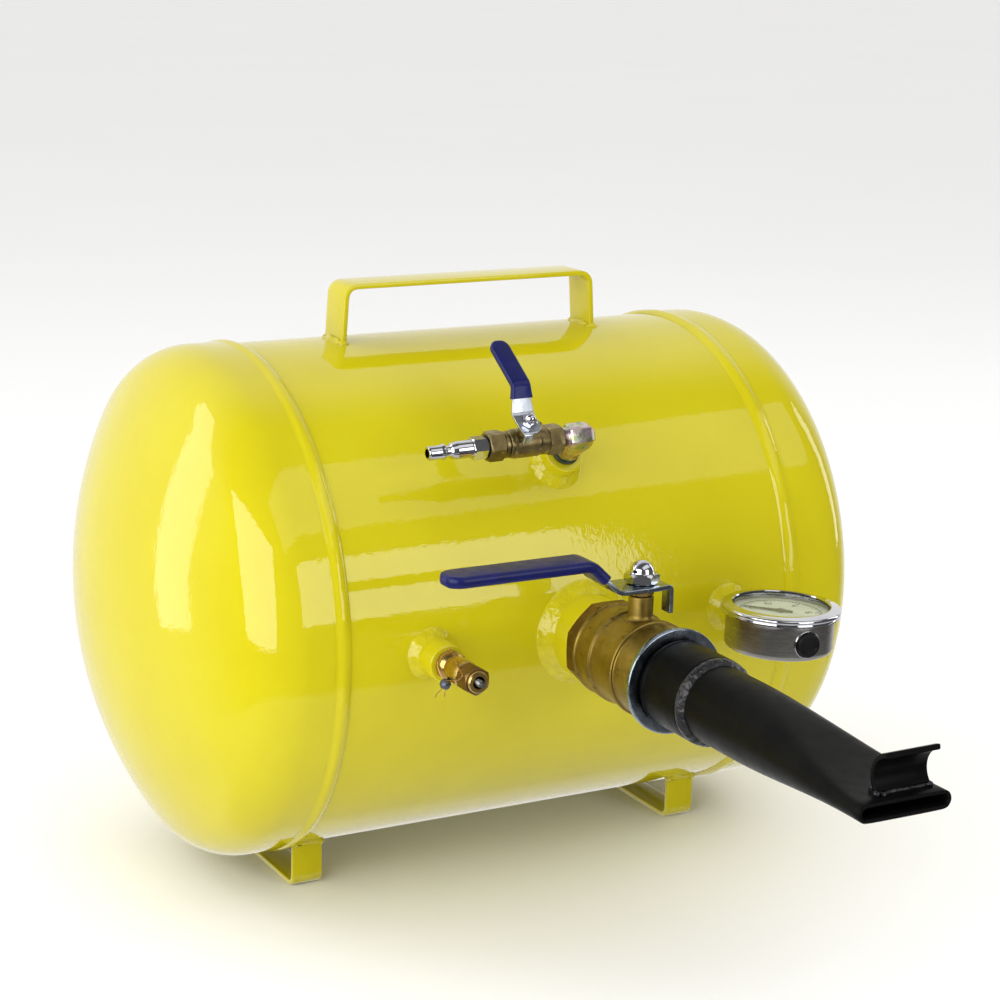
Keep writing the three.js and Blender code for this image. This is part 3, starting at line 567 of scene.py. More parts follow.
def tank_pieces():
    sides, bays = 288, 8
    shell = [(SHELL - WALL, -SHELL_HALF), (SHELL, -SHELL_HALF)]
    shell += [(SHELL, -SHELL_HALF + 2 * SHELL_HALF * i / bays) for i in range(1, bays)]
    shell += [(SHELL, SHELL_HALF), (SHELL - WALL, SHELL_HALF)]
    piece("shell_skin", [moved(lathe(shell, sides), ALONG_X)], TANK, PAINT, ["tank_shell"],
          sharp=50)
    for side, name in ((-1, "left"), (1, "right")):
        outer = head_profile(HEAD, HEAD_KNUCKLE, HEAD_FLANGE, HEAD_DEPTH, 14)
        inner = head_profile(HEAD - WALL, HEAD_KNUCKLE - WALL, HEAD_FLANGE, HEAD_DEPTH - WALL, 6)
        skin = lathe(inner[::-1] + outer, sides)
        place = move(x=side * (SHELL_HALF + 0.02)) @ turn_y(90 * side)
        piece(f"head_{name}_skin", [moved(skin, place)], TANK, PAINT, [f"tank_head_{name}"],
              sharp=50)
        seam_piece(side, name)


def seam_piece(side, name):
    """The bead round one end of the shell, filling the step up to the head."""
    base = SHELL + 0.05
    half = SEAM_WIDTH / 2
    steps = 10
    profile = []
    for i in range(steps + 1):
        t = i / steps
        to_head = t if side > 0 else 1 - t
        lift = SEAM_RISE * 0.98 * abs(sin(pi * t)) ** 0.8
        shoulder = HEAD_SHOULDER * min(1, max(0, to_head - 0.5) / 0.4)
        profile.append((base + max(lift, shoulder), -half + SEAM_WIDTH * t))
    if side > 0:
        profile.append((base, half))
    else:
        profile.insert(0, (base, -half))

    def ripple(r, z, a):
        lift = (r - base) / SEAM_RISE
        coarse = noise_at(cos(a) * 9, sin(a) * 9, z * 0.25 + side * 7)
        fine = noise_at(cos(a) * 60, sin(a) * 60, z * 0.5 + side * 3)
        return r - max(0, lift) * (0.35 + 0.3 * coarse + 0.12 * fine), z * (1 + 0.04 * coarse)

    ring = moved(lathe(profile, 576, ripple), ALONG_X)
    middle = move(x=side * (SHELL_HALF - half))
    piece(f"seam_bead_{name}", [moved(ring, middle)], TANK, PAINT, [f"seam_weld_{name}"],
          sharp=60)


def strap_line(half, bottom, top, bend, splay):
    """The middle line of a U strap, from one end round to the other."""
    reach, level = half - STRAP / 2, bottom + STRAP / 2
    line = [(reach + splay, top), (reach, level), (-reach, level), (-reach - splay, top)]
    return fillet(line, [0, bend, bend, 0], 8)


def strap_part(line, width):
    """A flat bar bent along a line in X and Y, its width along Z."""
    section = bar_section(width, STRAP, 0.8, 3)
    rings = []
    for i, p in enumerate(line):
        a = Vector(line[max(i - 1, 0)])
        b = Vector(line[min(i + 1, len(line) - 1)])
        along = (b - a).normalized()
        side = Vector((-along.y, along.x))
        rings.append([(p[0] + side.x * t, p[1] + side.y * t, w) for w, t in section])
    return loft(rings)


def weld_blob(centre, size, seed, lumps=0.16, steps=20):
    """A lump of weld: a flattened ball with uneven ripples."""
    half_circle = [(sin(pi * i / steps), -cos(pi * i / steps)) for i in range(steps + 1)]
    verts, faces = lathe(half_circle, 32)
    out = []
    for v in verts:
        p = Vector(v)
        n = noise.noise(p * 2.2 + Vector((seed, seed * 2, 0)))
        fine = noise.noise(p * 6.5 + Vector((0, seed, seed)))
        q = p * (1 + lumps * n + lumps * 0.4 * fine)
        out.append(tuple(centre[k] + q[k] * size[k] for k in range(3)))
    return out, faces


def strap_pieces():
    to_foot = turn_z(90) @ turn_x(90)
    for side, name in ((-1, "left"), (1, "right")):
        line = strap_line(FOOT_HALF, GROUND, -138, 6, 0)
        bar = moved(strap_part(line, FOOT_WIDTH), move(x=side * FOOT_X) @ to_foot)
        piece(f"foot_{name}_bar", [bar], TANK, PAINT, [f"foot_{name}"])
        blobs = []
        for k, y in enumerate((-1, 1)):
            spot = y * (FOOT_HALF - 1)
            level = -sqrt(SHELL ** 2 - spot ** 2)
            for j, dx in enumerate((-1, 1)):
                blobs.append(weld_blob((side * FOOT_X + dx * 8.0, spot, level - 0.2),
                                       (2.4, 3.6, 2.4), k * 5 + j * 3 + side))
            blobs.append(weld_blob((side * FOOT_X, spot + y * 1.8, level + 1.2),
                                   (9.0, 2.6, 2.4), k * 4 + side + 11))
        piece(f"foot_{name}_welds", blobs, TANK, PAINT_WELD, sharp=60)
    line = strap_line(HANDLE_HALF, -HANDLE_TOP, -146, 8, HANDLE_SPLAY)
    bar = moved(strap_part(line, HANDLE_WIDTH), turn_x(-90))
    piece("handle_bar", [bar], TANK, PAINT, ["carry_handle"])
    blobs = []
    for k, x in enumerate((-1, 1)):
        spot = x * 84.4
        blobs.append(weld_blob((spot + x * 1.4, 0, 149.2), (3.2, 12.6, 3.6), k * 6 + 2.5))
        blobs.append(weld_blob((spot - x * 1.6, 0, 149.2), (2.8, 12.2, 3.2), k * 6 + 4.5))
        for j, y in enumerate((-1, 1)):
            blobs.append(weld_blob((spot, y * 12.2, 148.6), (3.4, 3.0, 3.0), k * 3 + j * 2 + 0.5))
    piece("handle_welds", blobs, TANK, PAINT_WELD, sharp=60)


def on_shell(r, a):
    """Height of the tank's surface seen from a port, at a radius and angle about it."""
    return sqrt(SHELL ** 2 - (r * sin(a)) ** 2)


def bung_pieces(name, place, radius, top, weld):
    """A round boss welded on the shell, with its bead following the curve of the shell."""
    root = 143.5
    bore, edge = (15.5, 1.6) if name == "main" else (6.9, 1.2)
    profile = fillet([(bore, root), (radius, root), (radius, top), (bore, top)],
                     [0, 0, edge, 0.8], 5)
    piece(f"{name}_boss", [lathe(profile, 128)], place, PAINT, [f"{name}_bung"])
    rise = (weld - radius) * 1.25
    rows = []
    steps = 22
    for i in range(steps + 1):
        t = i / steps
        row = []
        for a in angles(256):
            wave = noise_at(cos(a) * 2.2, sin(a) * 2.2, radius)
            r = weld * (1 + 0.012 * wave) + (radius - 0.1 - weld) * t
            lift = rise * (t ** 1.35) * (1 + 0.10 * wave)
            spot = Vector((r * cos(a), r * sin(a), lift))
            coarse = noise.noise(spot / 4.0)
            fine = noise.noise(spot / 1.5 + Vector((7, 3, 1)))
            lift += (0.34 * coarse + 0.12 * fine) * sin(pi * t)
            row.append((r * cos(a), r * sin(a), on_shell(r, a) - 0.25 + lift))
        rows.append(row)
    hidden = [[(x, y, z - 2.0) for x, y, z in rows[0]]]
    piece(f"{name}_boss_bead", [loft(hidden + rows, caps=False)], place, PAINT_WELD,
          [f"{name}_bung_weld"], sharp=70)


# ---- valves ----------------------------------------------------------------------------


def threads(radius, depth, low, high, pitch):
    """Profile points of a thread's crests and roots."""
    points = []
    z = low
    while z < high:
        points += [(radius - depth, z), (radius, z + pitch * 0.5)]
        z += pitch
    return points + [(radius - depth, high)]


def boss_fillet(radius, top, base_radius, spread):
    """Profile of a round boss on a cylinder, flared where it meets it."""
    low = base_radius - 3
    points = [(0, low), (radius + spread, low), (radius + spread, base_radius - 1.2)]
    for i in range(7):
        t = i / 6
        points.append((radius + spread * (1 - sin(t * pi / 2)),
                       base_radius - 1.2 + spread * 1.3 * (1 - cos(t * pi / 2))))
    return points + fillet([(radius, base_radius + spread), (radius, top), (0, top)], 0.7, 4)


LEVER_UP = turn_x(-90)


def lever_sections(v, thick, grow, start, end, closed_tip, side_radius):
    """Rounded sections of the pressed lever between two distances from the stem.

    grow widens it all round, and closed_tip rounds the far end over."""
    low = v["plate"] + v["thick"] / 2
    high = low + v["rise"]
    line = [(-v["tab"] + v["thick"] / 2, low - v["drop"]), (-v["tab"] + v["thick"] / 2, low),
            (v["rise_from"], low), (v["rise_to"], high), (v["end"], high)]
    radii = [0, v["thick"] * 1.1, v["bend"], v["bend"], 0]
    smooth = fillet(line, radii, 8)
    dense = []
    for a, b in zip(smooth, smooth[1:]):
        span = hypot(b[0] - a[0], b[1] - a[1])
        steps = max(1, int(span / v["step"]))
        dense += [(a[0] + (b[0] - a[0]) * k / steps, a[1] + (b[1] - a[1]) * k / steps)
                  for k in range(steps)]
    dense.append(smooth[-1])
    tip = v["end"] - v["grip"]
    if closed_tip:
        dense = [p for p in dense if p[0] < tip]
        reach = v["grip"] + grow
        dense += [(tip + reach * sin(pi / 2 * k / 24), high) for k in range(25)]
    side, grip = v["side"], v["grip"]
    rings = []
    for i, p in enumerate(dense):
        x, y = p
        on_tab = y < low - v["thick"] * 0.6
        if (on_tab and start > 0) or (not on_tab and x < start) or (not closed_tip and x > end):
            continue
        a = Vector(dense[max(i - 1, 0)])
        b = Vector(dense[min(i + 1, len(dense) - 1)])
        along = (b - a).normalized()
        up = Vector((-along.y, along.x))
        if on_tab or x < -v["tab"] + v["thick"]:
            near, far = -side * 0.84, -side * 0.10
        elif x < -side * 0.35:
            t = (x + v["tab"]) / (v["tab"] - side * 0.35)
            near = -side * (0.84 + 0.16 * t)
            far = side * (-0.10 + 1.10 * sin(max(0, t) * pi / 2))
        elif x < v["rise_from"]:
            near, far = -side, side
        elif x < v["rise_to"]:
            t = (x - v["rise_from"]) / (v["rise_to"] - v["rise_from"])
            t = t * t * (3 - 2 * t)
            near = -side + (side - grip) * t
            far = -near
        else:
            near, far = -grip, grip
        near, far = near - grow, far + grow
        half = thick / 2
        if closed_tip and x > tip:
            share = sqrt(max(0.0004, 1 - min(1, (x - tip) / (grip + grow)) ** 2))
            near, far = near * share, far * share
            half *= min(1, 0.35 + share)
        corner = min(side_radius, half * 0.98, max(0.02, (far - near) * 0.49))
        section = fillet([(near, -half), (far, -half), (far, half), (near, half)], corner, 5,
                         ring=True)
        rings.append([(-(x + up.x * t), y + up.y * t, -w) for w, t in section])
    return rings


# stem is the stem's place along its fitting. plate is the lever's height over the flow's axis, rise
# what it steps up and drop what its tab hangs down. tab, rise_from, rise_to, grip_from and end are
# distances from the stem. side and grip are half widths.
MAIN_LEVER = dict(stem=OUTLET_STEM, plate=42.8, thick=2.5, rise=16.5, tab=15, drop=15, side=11.5,
                  grip=8.75, rise_from=20, rise_to=36, end=121, bend=9, step=2.2,
                  grip_from=27, grip_thick=6.4, grip_grow=1.5)
INLET_LEVER = dict(stem=INLET_STEM, plate=13.8, thick=1.6, rise=12, tab=9, drop=5.4, side=6.8,
                   grip=4.75, rise_from=8, rise_to=19, end=52, bend=5, step=1.2,
                   grip_from=13.8, grip_thick=4.4, grip_grow=1.1)


def lever_pieces(name, place, v, body, metal):
    at_stem = place @ move(z=v["stem"])
    rings = lever_sections(v, v["thick"], 0, -99, v["end"] - 3, False, 0.45)
    piece(f"{name}_lever_plate", [loft(rings)], at_stem, metal, [f"{name}_lever"],
          sharp=35, body=body)
    grip = lever_sections(v, v["grip_thick"], v["grip_grow"], v["grip_from"], v["end"] + 2.2,
                          True, v["grip_thick"] * 0.42)
    piece(f"{name}_grip_sleeve", [loft(grip)], at_stem, VINYL, [f"{name}_grip"],
          sharp=55, body=body)


def acorn_nut(name, place, v, body, turn, base, flats, height, dome):
    """A domed nut with a chamfered hexagon under its ball."""
    up = place @ move(z=v["stem"]) @ LEVER_UP @ turn_z(turn)
    top = base + height
    radius = flats * 0.405
    ball = [(0, top - 1.2), (flats * 0.30, top - 1.2), (flats * 0.435, top - 0.3)]
    ball += [(r, top + (z - top) * dome / radius) for r, z in arc((0, top), radius, 4, 88, 16)]
    ball.append((0, top + dome))
    piece(f"{name}_acorn_nut", [nut_block(flats, base, top, chamfer=0.09), lathe(ball, 64)],
          up, CHROME, [f"{name}_lever_nut"], sharp=30, body=body)


def main_valve():
    """The outlet's ball valve: a hexagon, a ridged body with a boss for the stem, an end cap."""
    bore = 15.6
    hexagon = nut_block(50, 173, 183.4, 8, bore=21.4, chamfer=0.035)
    body = [(bore, 182.4), (25.4, 182.6), (26.7, 183.1), (26.8, 184.3), (26.1, 184.7),
            (25.9, 185.4), (25.9, 195.4), (26.2, 195.8), (27.1, 196.3), (27.2, 200.4),
            (26.2, 200.9), (26.0, 201.4), (26.0, 220.8), (26.3, 221.2), (27.2, 221.7),
            (27.2, 224.4), (26.6, 224.9), (bore, 224.9)]
    up = move(z=OUTLET_STEM) @ LEVER_UP
    boss = moved(lathe(boss_fillet(6.9, 38.6, 26.0, 2.6), 64), up)
    piece("outlet_hex_end", [hexagon], MAIN, BRASS_HEX, sharp=25)
    piece("outlet_body_casting", [lathe(fillet(body, 0.22, 2), 160), boss], MAIN, BRASS,
          ["outlet_valve_body"])
    cap = [(bore, 225.1), (26.2, 225.1), (26.2, 225.6), (25.9, 226.0), (25.4, 242.6),
           (24.4, 244), (bore, 244)]
    piece("outlet_cap_casting", [lathe(fillet(cap, 0.5, 3), 128)], MAIN, BRASS,
          ["outlet_valve_end_cap"], sharp=35)
    piece("outlet_gland", [nut_block(12.1, 38.9, 42.2, 6, bore=4.3, chamfer=0.05)], MAIN @ up,
          MACHINED_BRASS, ["outlet_valve_packing_nut"], sharp=25)
    lever_pieces("outlet_valve", MAIN, MAIN_LEVER, "outlet_lever", ZINC)
    acorn_nut("outlet_valve", MAIN, MAIN_LEVER, "outlet_lever", 0, 45.6, 17, 6, 6.7)


def barrel_section(half_width, half_height):
    """A rounded slot, or a circle where both halves are the same."""
    flat = half_width - half_height
    return [(half_height * cos(a) + tanh(6 * cos(a)) * flat, half_height * sin(a))
            for a in angles(72)]


def ease(z, low, high):
    t = max(0, min(1, (z - low) / (high - low)))
    return t * t * (3 - 2 * t)


def barrel_ring(z, inset):
    low = ease(z, PRESS_FROM, PRESS_TO)
    spread = ease(z, SPREAD_FROM, MOUTH + 20)
    half_height = BARREL + (MOUTH_HALF_HEIGHT - BARREL) * low - inset
    half_width = BARREL + (MOUTH_HALF_WIDTH - BARREL) * spread - inset
    return [(x, y - MOUTH_DROP * low, z) for x, y in barrel_section(half_width, half_height)]


def outlet_pieces():
    """The lock ring, the collar, the pressed barrel and the weld between them."""
    ring = fillet([(21.6, 244.4), (29.5, 244.4), (29.5, 248), (21.6, 248)], [0.3, 0.9, 0.9, 0.3],
                  4, ring=True)
    piece("outlet_lock_ring", [lathe(ring, 160)], MAIN, ZINC, ["outlet_ring"])
    end = 285
    collar = [(17, 236), (20.6, 236), (20.6, 248.4), (21.6, 248.4), (23.4, 249.2), (24.15, 251.8),
              (24.15, 253.2), (23.85, 253.6), (23.85, 254.2), (24.15, 254.6), (24.15, end - 0.8),
              (23.6, end), (17, end)]
    piece("collar_pipe", [lathe(fillet(collar, 0.5, 3), 160)], MAIN, BLACK, ["barrel_collar"])
    levels = [end + GAP, 292, 300] + [300 + 149.2 * i / 30 for i in range(1, 31)]
    outer = [barrel_ring(z, 0) for z in levels]
    lip = [barrel_ring(MOUTH - back, inset)
           for back, inset in ((0.4, 0.25), (0.05, 0.8), (0.05, 1.5), (0.5, 2.0))]
    inner = [barrel_ring(z, BARREL_WALL) for z in reversed(levels)]
    piece("blast_barrel", [loft(outer + lip + inner, caps=False, closed=True)], MAIN, BLACK,
          ["barrel"])
    rows = []
    steps = 12
    for i in range(steps + 1):
        t = i / steps
        row = []
        for a in angles(220):
            wave = noise_at(cos(a) * 3.1, sin(a) * 3.1, 2.0)
            fine = noise_at(cos(a) * 14, sin(a) * 14, t * 3)
            scallop = 0.5 + 0.5 * sin(a * 26 + 3 * wave)
            swell = 0.9 + 0.4 * wave + 0.22 * scallop * t + 0.25 * fine
            r = 24.1 - 2.9 * t + swell * sin(pi * t)
            row.append((r * cos(a), r * sin(a), 285.2 + (4.8 + 0.8 * wave + 0.35 * scallop) * t))
        rows.append(row)
    piece("barrel_weld_bead", [loft(rows, caps=False)], MAIN, BLACK_WELD, ["barrel_weld"],
          sharp=60)


def hook_pieces():
    """A curved plate across the mouth, hollow side forward, with weld beads at its foot."""
    inner, thick, width = 10.6, 2.8, 32.0
    across = 3.8
    below, above = 44, 79
    steps = 24
    section = bar_section(width, thick, 0.9, 4)
    rings = []
    for i in range(steps + 1):
        a = radians(180 + below - (below + above) * i / steps)
        middle = inner + thick / 2
        rings.append([(w, (middle + t) * sin(a), (middle + t) * cos(a)) for w, t in section])
    lowest = (inner + thick) * sin(radians(below))
    level = MOUTH_HALF_HEIGHT - MOUTH_DROP + GAP + lowest
    place = MAIN @ move(across, level, MOUTH) @ turn_y(1)
    piece("rim_hook_plate", [loft(rings)], place, BLACK, ["rim_hook"], sharp=45)
    front, back = [], []
    for i in range(41):
        x = across - 15.5 + 31.0 * i / 40
        wave = noise_at(i / 40 * 7, 1.3, 0)
        front.append((x, 4.75 + 0.3 * wave, 441.2 + 0.5 * wave))
        back.append((x, 5.2, 437.2 + 0.4 * noise_at(i * 0.3, 4, 0)))
    blobs = [wire(front, 1.5, 14), wire(back, 1.6, 14)]
    blobs.append(weld_blob((-12.2, 5.4, 442.6), (1.7, 1.5, 1.9), 1.2))
    blobs.append(weld_blob((-8.6, 5.1, 443.6), (1.7, 1.3, 1.7), 2.9))
    blobs.append(weld_blob((19.2, 5.2, 441.6), (2.0, 1.5, 2.0), 4.4))
    piece("rim_hook_welds", blobs, MAIN, BLACK_WELD, sharp=60)


def small_valve():
    """The inlet's ball valve, its lever and the quick plug screwed into its end."""
    rear = nut_block(15.4, 13.8, 23.0, 6, bore=6.5, chamfer=0.06)
    body = [(3.9, 22.6), (7.2, 22.7), (7.9, 23.6), (7.9, 28.2), (8.2, 28.9), (8.3, 29.6),
            (8.3, 43.4), (8.0, 44.4), (7.6, 45.2), (7.6, 47.0), (7.0, 47.35), (3.9, 47.35)]
    up = move(z=INLET_STEM) @ LEVER_UP
    boss = moved(lathe(boss_fillet(4.2, 11.8, 7.6, 1.0), 48), up)
    stop = moved(lathe(fillet([(0, 5), (1.6, 5), (1.6, 13.4), (0, 13.4)], 0.5, 3), 24),
                 move(x=-1.1, z=30.2) @ LEVER_UP)
    piece("inlet_body_casting", [rear, lathe(fillet(body, 0.4, 2), 96), boss, stop], INLET_VALVE,
          OLIVE_BRASS, ["inlet_valve_body"], sharp=28)
    cap = [(3.9, 47.7), (6.9, 47.7), (7.5, 48.3), (7.5, 50.2), (6.6, 51.0), (6.6, 51.2)]
    front = nut_block(15.4, 50.6, 60.4, 6, bore=6.4, chamfer=0.08)
    piece("inlet_cap_casting", [lathe(cap + [(3.9, 51.2)], 96), front], INLET_VALVE,
          OLIVE_BRASS, ["inlet_valve_end_cap"], sharp=28)
    piece("inlet_gland", [nut_block(7.3, 12.1, 13.2, 6, bore=2.5, chamfer=0.05)],
          INLET_VALVE @ up, MACHINED_BRASS, ["inlet_valve_packing_nut"], sharp=25)
    lever_pieces("inlet_valve", INLET_VALVE, INLET_LEVER, "inlet_lever", WHITE_ZINC)
    acorn_nut("inlet_valve", INLET_VALVE, INLET_LEVER, "inlet_lever", 12, 15.6, 7.9, 3.2, 3.3)
    low = 60.8
    tip = low + 9
    plug_hex = nut_block(11.6, low, tip, 6, bore=2.5, chamfer=0.07)
    nose = [(2.5, low - 1), (5.0, low - 1), (5.0, tip + 0.6), (5.0, tip + 9.2), (4.3, tip + 12.2),
            (3.1, tip + 13.2), (3.0, tip + 15.4), (4.4, tip + 16.4), (4.6, tip + 17.2),
            (4.2, tip + 18.2), (3.9, tip + 18.8), (3.9, tip + 25.6), (3.4, tip + 26.5),
            (2.5, tip + 26.5)]
    piece("inlet_plug_nose", [plug_hex, lathe(fillet(nose, 0.6, 4), 96)], INLET_VALVE, CHROME,
          ["inlet_quick_plug"], sharp=28)
    washer = [(5.0, 60.35), (6.3, 60.35), (6.5, 60.55), (6.3, 60.85), (5.0, 60.85)]
    seal = threads(5.6, 0.5, low - 0.3, low + 0.1, 0.8) + [(4.9, low)]
    piece("inlet_plug_seal", [lathe(washer, 64), lathe(seal, 48)], INLET_VALVE, RUBBER)


def elbow_pieces():
    """Street elbow: a hexagonal arm over a round leg, threads down into the bung and across."""
    down = INLET_ELBOW - INLET_TOP - GAP - SEAL_THICK - GAP
    arm_section = fillet(polygon(13.8), 0.9, 4, ring=True)
    lean = radians(22)
    rings = []
    for x, scale, drop in ((-9.2, 0.90, 0), (-8.4, 1.0, 0), (2.6, 1.0, 0), (5.2, 0.88, -0.3),
                           (7.6, 0.66, -0.8), (8.9, 0.38, -1.2), (9.3, 0.16, -1.3)):
        ring = []
        for p, q in arm_section:
            y, z = q * scale, p * scale + drop
            ring.append((x, y * cos(lean) - z * sin(lean), y * sin(lean) + z * cos(lean)))
        rings.append(ring)
    arm = loft(rings)
    leg_rings = []
    for z, radius, shift in ((-down, 6.9, 0), (-down + 0.8, 7.3, 0), (-9.5, 7.3, 0),
                             (-6.5, 7.7, 0.5), (-3.5, 8.0, 0.9), (-0.5, 7.6, 1.1),
                             (2.5, 6.2, 1.0), (4.6, 3.8, 0.6)):
        ring = []
        for a in angles(64):
            r = radius * (1 - 0.02 * (1 - abs(cos(4 * a))))
            ring.append((shift + r * cos(a), r * sin(a), z))
        leg_rings.append(ring)

    def threaded(low, high):
        return lathe([(0, low)] + threads(6.0, 0.45, low, high, 0.95) + [(0, high)], 64)

    thread_down = threaded(-down - 10, -down + 0.5)
    thread_across = moved(threaded(-22, -9.2), ALONG_X)
    piece("elbow_casting", [arm, loft(leg_rings), thread_down, thread_across], ELBOW, RAINBOW,
          ["inlet_elbow"])
    low = INLET_TOP + GAP
    high = low + SEAL_THICK
    profile = fillet([(6.9, low), (7.7, low), (7.9, low + SEAL_THICK / 2), (7.7, high),
                      (6.9, high)], 0.4, 3)
    piece("inlet_seal_ring", [lathe(profile, 96)], INLET, GREEN_SEAL, ["inlet_seal"])


def safety_pieces():
    seat = SAFETY_SEAT
    body = [(2.4, seat - 12), (6.4, seat - 12), (6.5, seat), (8.2, seat + 0.1), (8.2, seat + 4.6),
            (7.6, seat + 5.6), (6.6, seat + 6.8), (6.6, seat + 8.8), (7.5, seat + 10.6),
            (7.6, 190.8), (7.0, 192.4), (5.0, 192.6)]
    collar = nut_block(15.6, seat + 0.2, seat + 4.8, 6, bore=6.0, chamfer=0.06)
    piece("safety_body_turned", [lathe(fillet(body, 0.4, 3), 96), collar], SAFETY, MACHINED_BRASS,
          ["safety_body"], sharp=30)
    cap = [(3.5, 188), (4.6, 188), (4.6, 192.9), (6.9, 193), (6.9, 193.5), (3.5, 193.5)]
    hexagon = nut_block(14.3, 193.2, 204, 6, bore=3.5, chamfer=0.09)
    piece("safety_cap_turned", [lathe(cap, 64), hexagon], SAFETY, BRASS_HEX, ["safety_cap"],
          sharp=28)
    lip = [(3.5, 203), (6.0, 203.6), (6.2, 204.6), (5.9, 205.4), (5.5, 205.9), (3.6, 205.9)]
    piece("safety_cap_lip", [lathe(lip, 64)], SAFETY, MACHINED_BRASS)
    stem = [(0, seat + 5), (3, seat + 5), (4.4, seat + 6.2), (4.4, seat + 8), (1.9, seat + 8)]
    stem += threads(1.95, 0.32, 192, 209.6, 0.7) + [(1.4, 210.5), (0, 210.5)]
    piece("safety_threaded_stem", [lathe(stem, 48)], SAFETY, STEEL_THREAD, ["safety_poppet"],
          body="safety_poppet")
    seal_pieces(move(z=seat))


def seal_pieces(at_seat):
    """The copper wire looped through the safety valve, its two twisted tails and the lead."""
    around = [(-7.5, -5.2, 10.5), (-8.9, -1, 6), (-8.6, 4.2, 4), (-2.1, 9.4, 3.4),
              (-1.5, 9.2, 7), (-4.5, 8.0, 16), (-7.0, 5.6, 26), (-7.9, 4.4, 31.5),
              (-8.9, 1.6, 30), (-8.7, -1.4, 23), (-8.2, -4, 14)]
    tails = [[(-7.8, -6.0, 10), (-9.5, -9.4, 10.5), (-12.2, -12.0, 10.4), (-13.6, -13.8, 11.0)],
             [(-7.2, -8.0, 11), (-7.9, -11.6, 11.4), (-8.0, -14.4, 10.8)]]
    wires = [wire(smooth_line(around, 10, closed=True), 0.32, closed=True)]
    wires += [wire(smooth_line(tail, 8), 0.24) for tail in tails]
    piece("seal_wire_loop", wires, SAFETY @ at_seat, COPPER, ["seal_wire"], sharp=60)
    lead = weld_blob((-7.5, -7.0, 11), (3.1, 3.0, 3.1), 6.2, lumps=0.10, steps=28)
    piece("seal_lead_ball", [lead], SAFETY @ at_seat, LEAD, ["seal_lead"], sharp=60)


# ---- gauge -----------------------------------------------------------------------------

DIGITS = {
    "0": [[(0, 0), (4, 0), (4, 7), (0, 7), (0, 0)]],
    "2": [[(0, 7), (4, 7), (4, 3.5), (0, 3.5), (0, 0), (4, 0)]],
    "4": [[(0, 7), (0, 3.5), (4, 3.5)], [(4, 7), (4, 0)]],
    "6": [[(4, 7), (0, 7), (0, 0), (4, 0), (4, 3.5), (0, 3.5)]],
    "8": [[(0, 0), (4, 0), (4, 7), (0, 7), (0, 0)], [(0, 3.5), (4, 3.5)]],
    "1": [[(2.6, 0), (2.6, 7)]],
}


def strip(start, end, half, past=0):
    """A thin flat bar between two points on the dial, running past both."""
    low, high = 12.02, 12.14
    start, end = Vector(start), Vector(end)
    along = (end - start).normalized()
    off = Vector((-along.y, along.x)) * half
    start, end = start - along * past, end + along * past
    outline = [start - off, end - off, end + off, start + off]
    return extrude([tuple(p) for p in outline], low, high)


def dial_marks():
    """Ticks, an arc and plain numbers, cut from thin sheet and laid on the dial."""
    zero, sweep = 225, 270
    ticks, numbers = 50, ("0", "2", "4", "6", "8", "10")
    ring, ring_width, line = 23.6, 0.4, 0.22
    numbers_at, size, pitch = 16.2, 0.52, 5.4
    parts = []
    for i in range(ticks + 1):
        a = radians(zero - sweep * i / ticks)
        inner, half = (19.6, 0.32) if i % 10 == 0 else (20.8, 0.14) if i % 5 == 0 else (21.6, 0.14)
        parts.append(strip((inner * cos(a), inner * sin(a)), (ring * cos(a), ring * sin(a)), half))
    outer = arc((0, 0), ring + ring_width, zero, zero - sweep, 90)
    inner = arc((0, 0), ring, zero - sweep, zero, 90)
    parts.append(extrude(outer + inner, 12.02, 12.14))
    for i, text in enumerate(numbers):
        a = radians(zero - sweep * i / (len(numbers) - 1))
        left = numbers_at * cos(a) - len(text) * pitch * size / 2
        for k, digit in enumerate(text):
            for stroke in DIGITS[digit]:
                dots = [(left + (k * pitch + x) * size, numbers_at * sin(a) + (y - 3.5) * size)
                        for x, y in stroke]
                parts += [strip(p, q, line, line) for p, q in zip(dots, dots[1:])]
    return parts


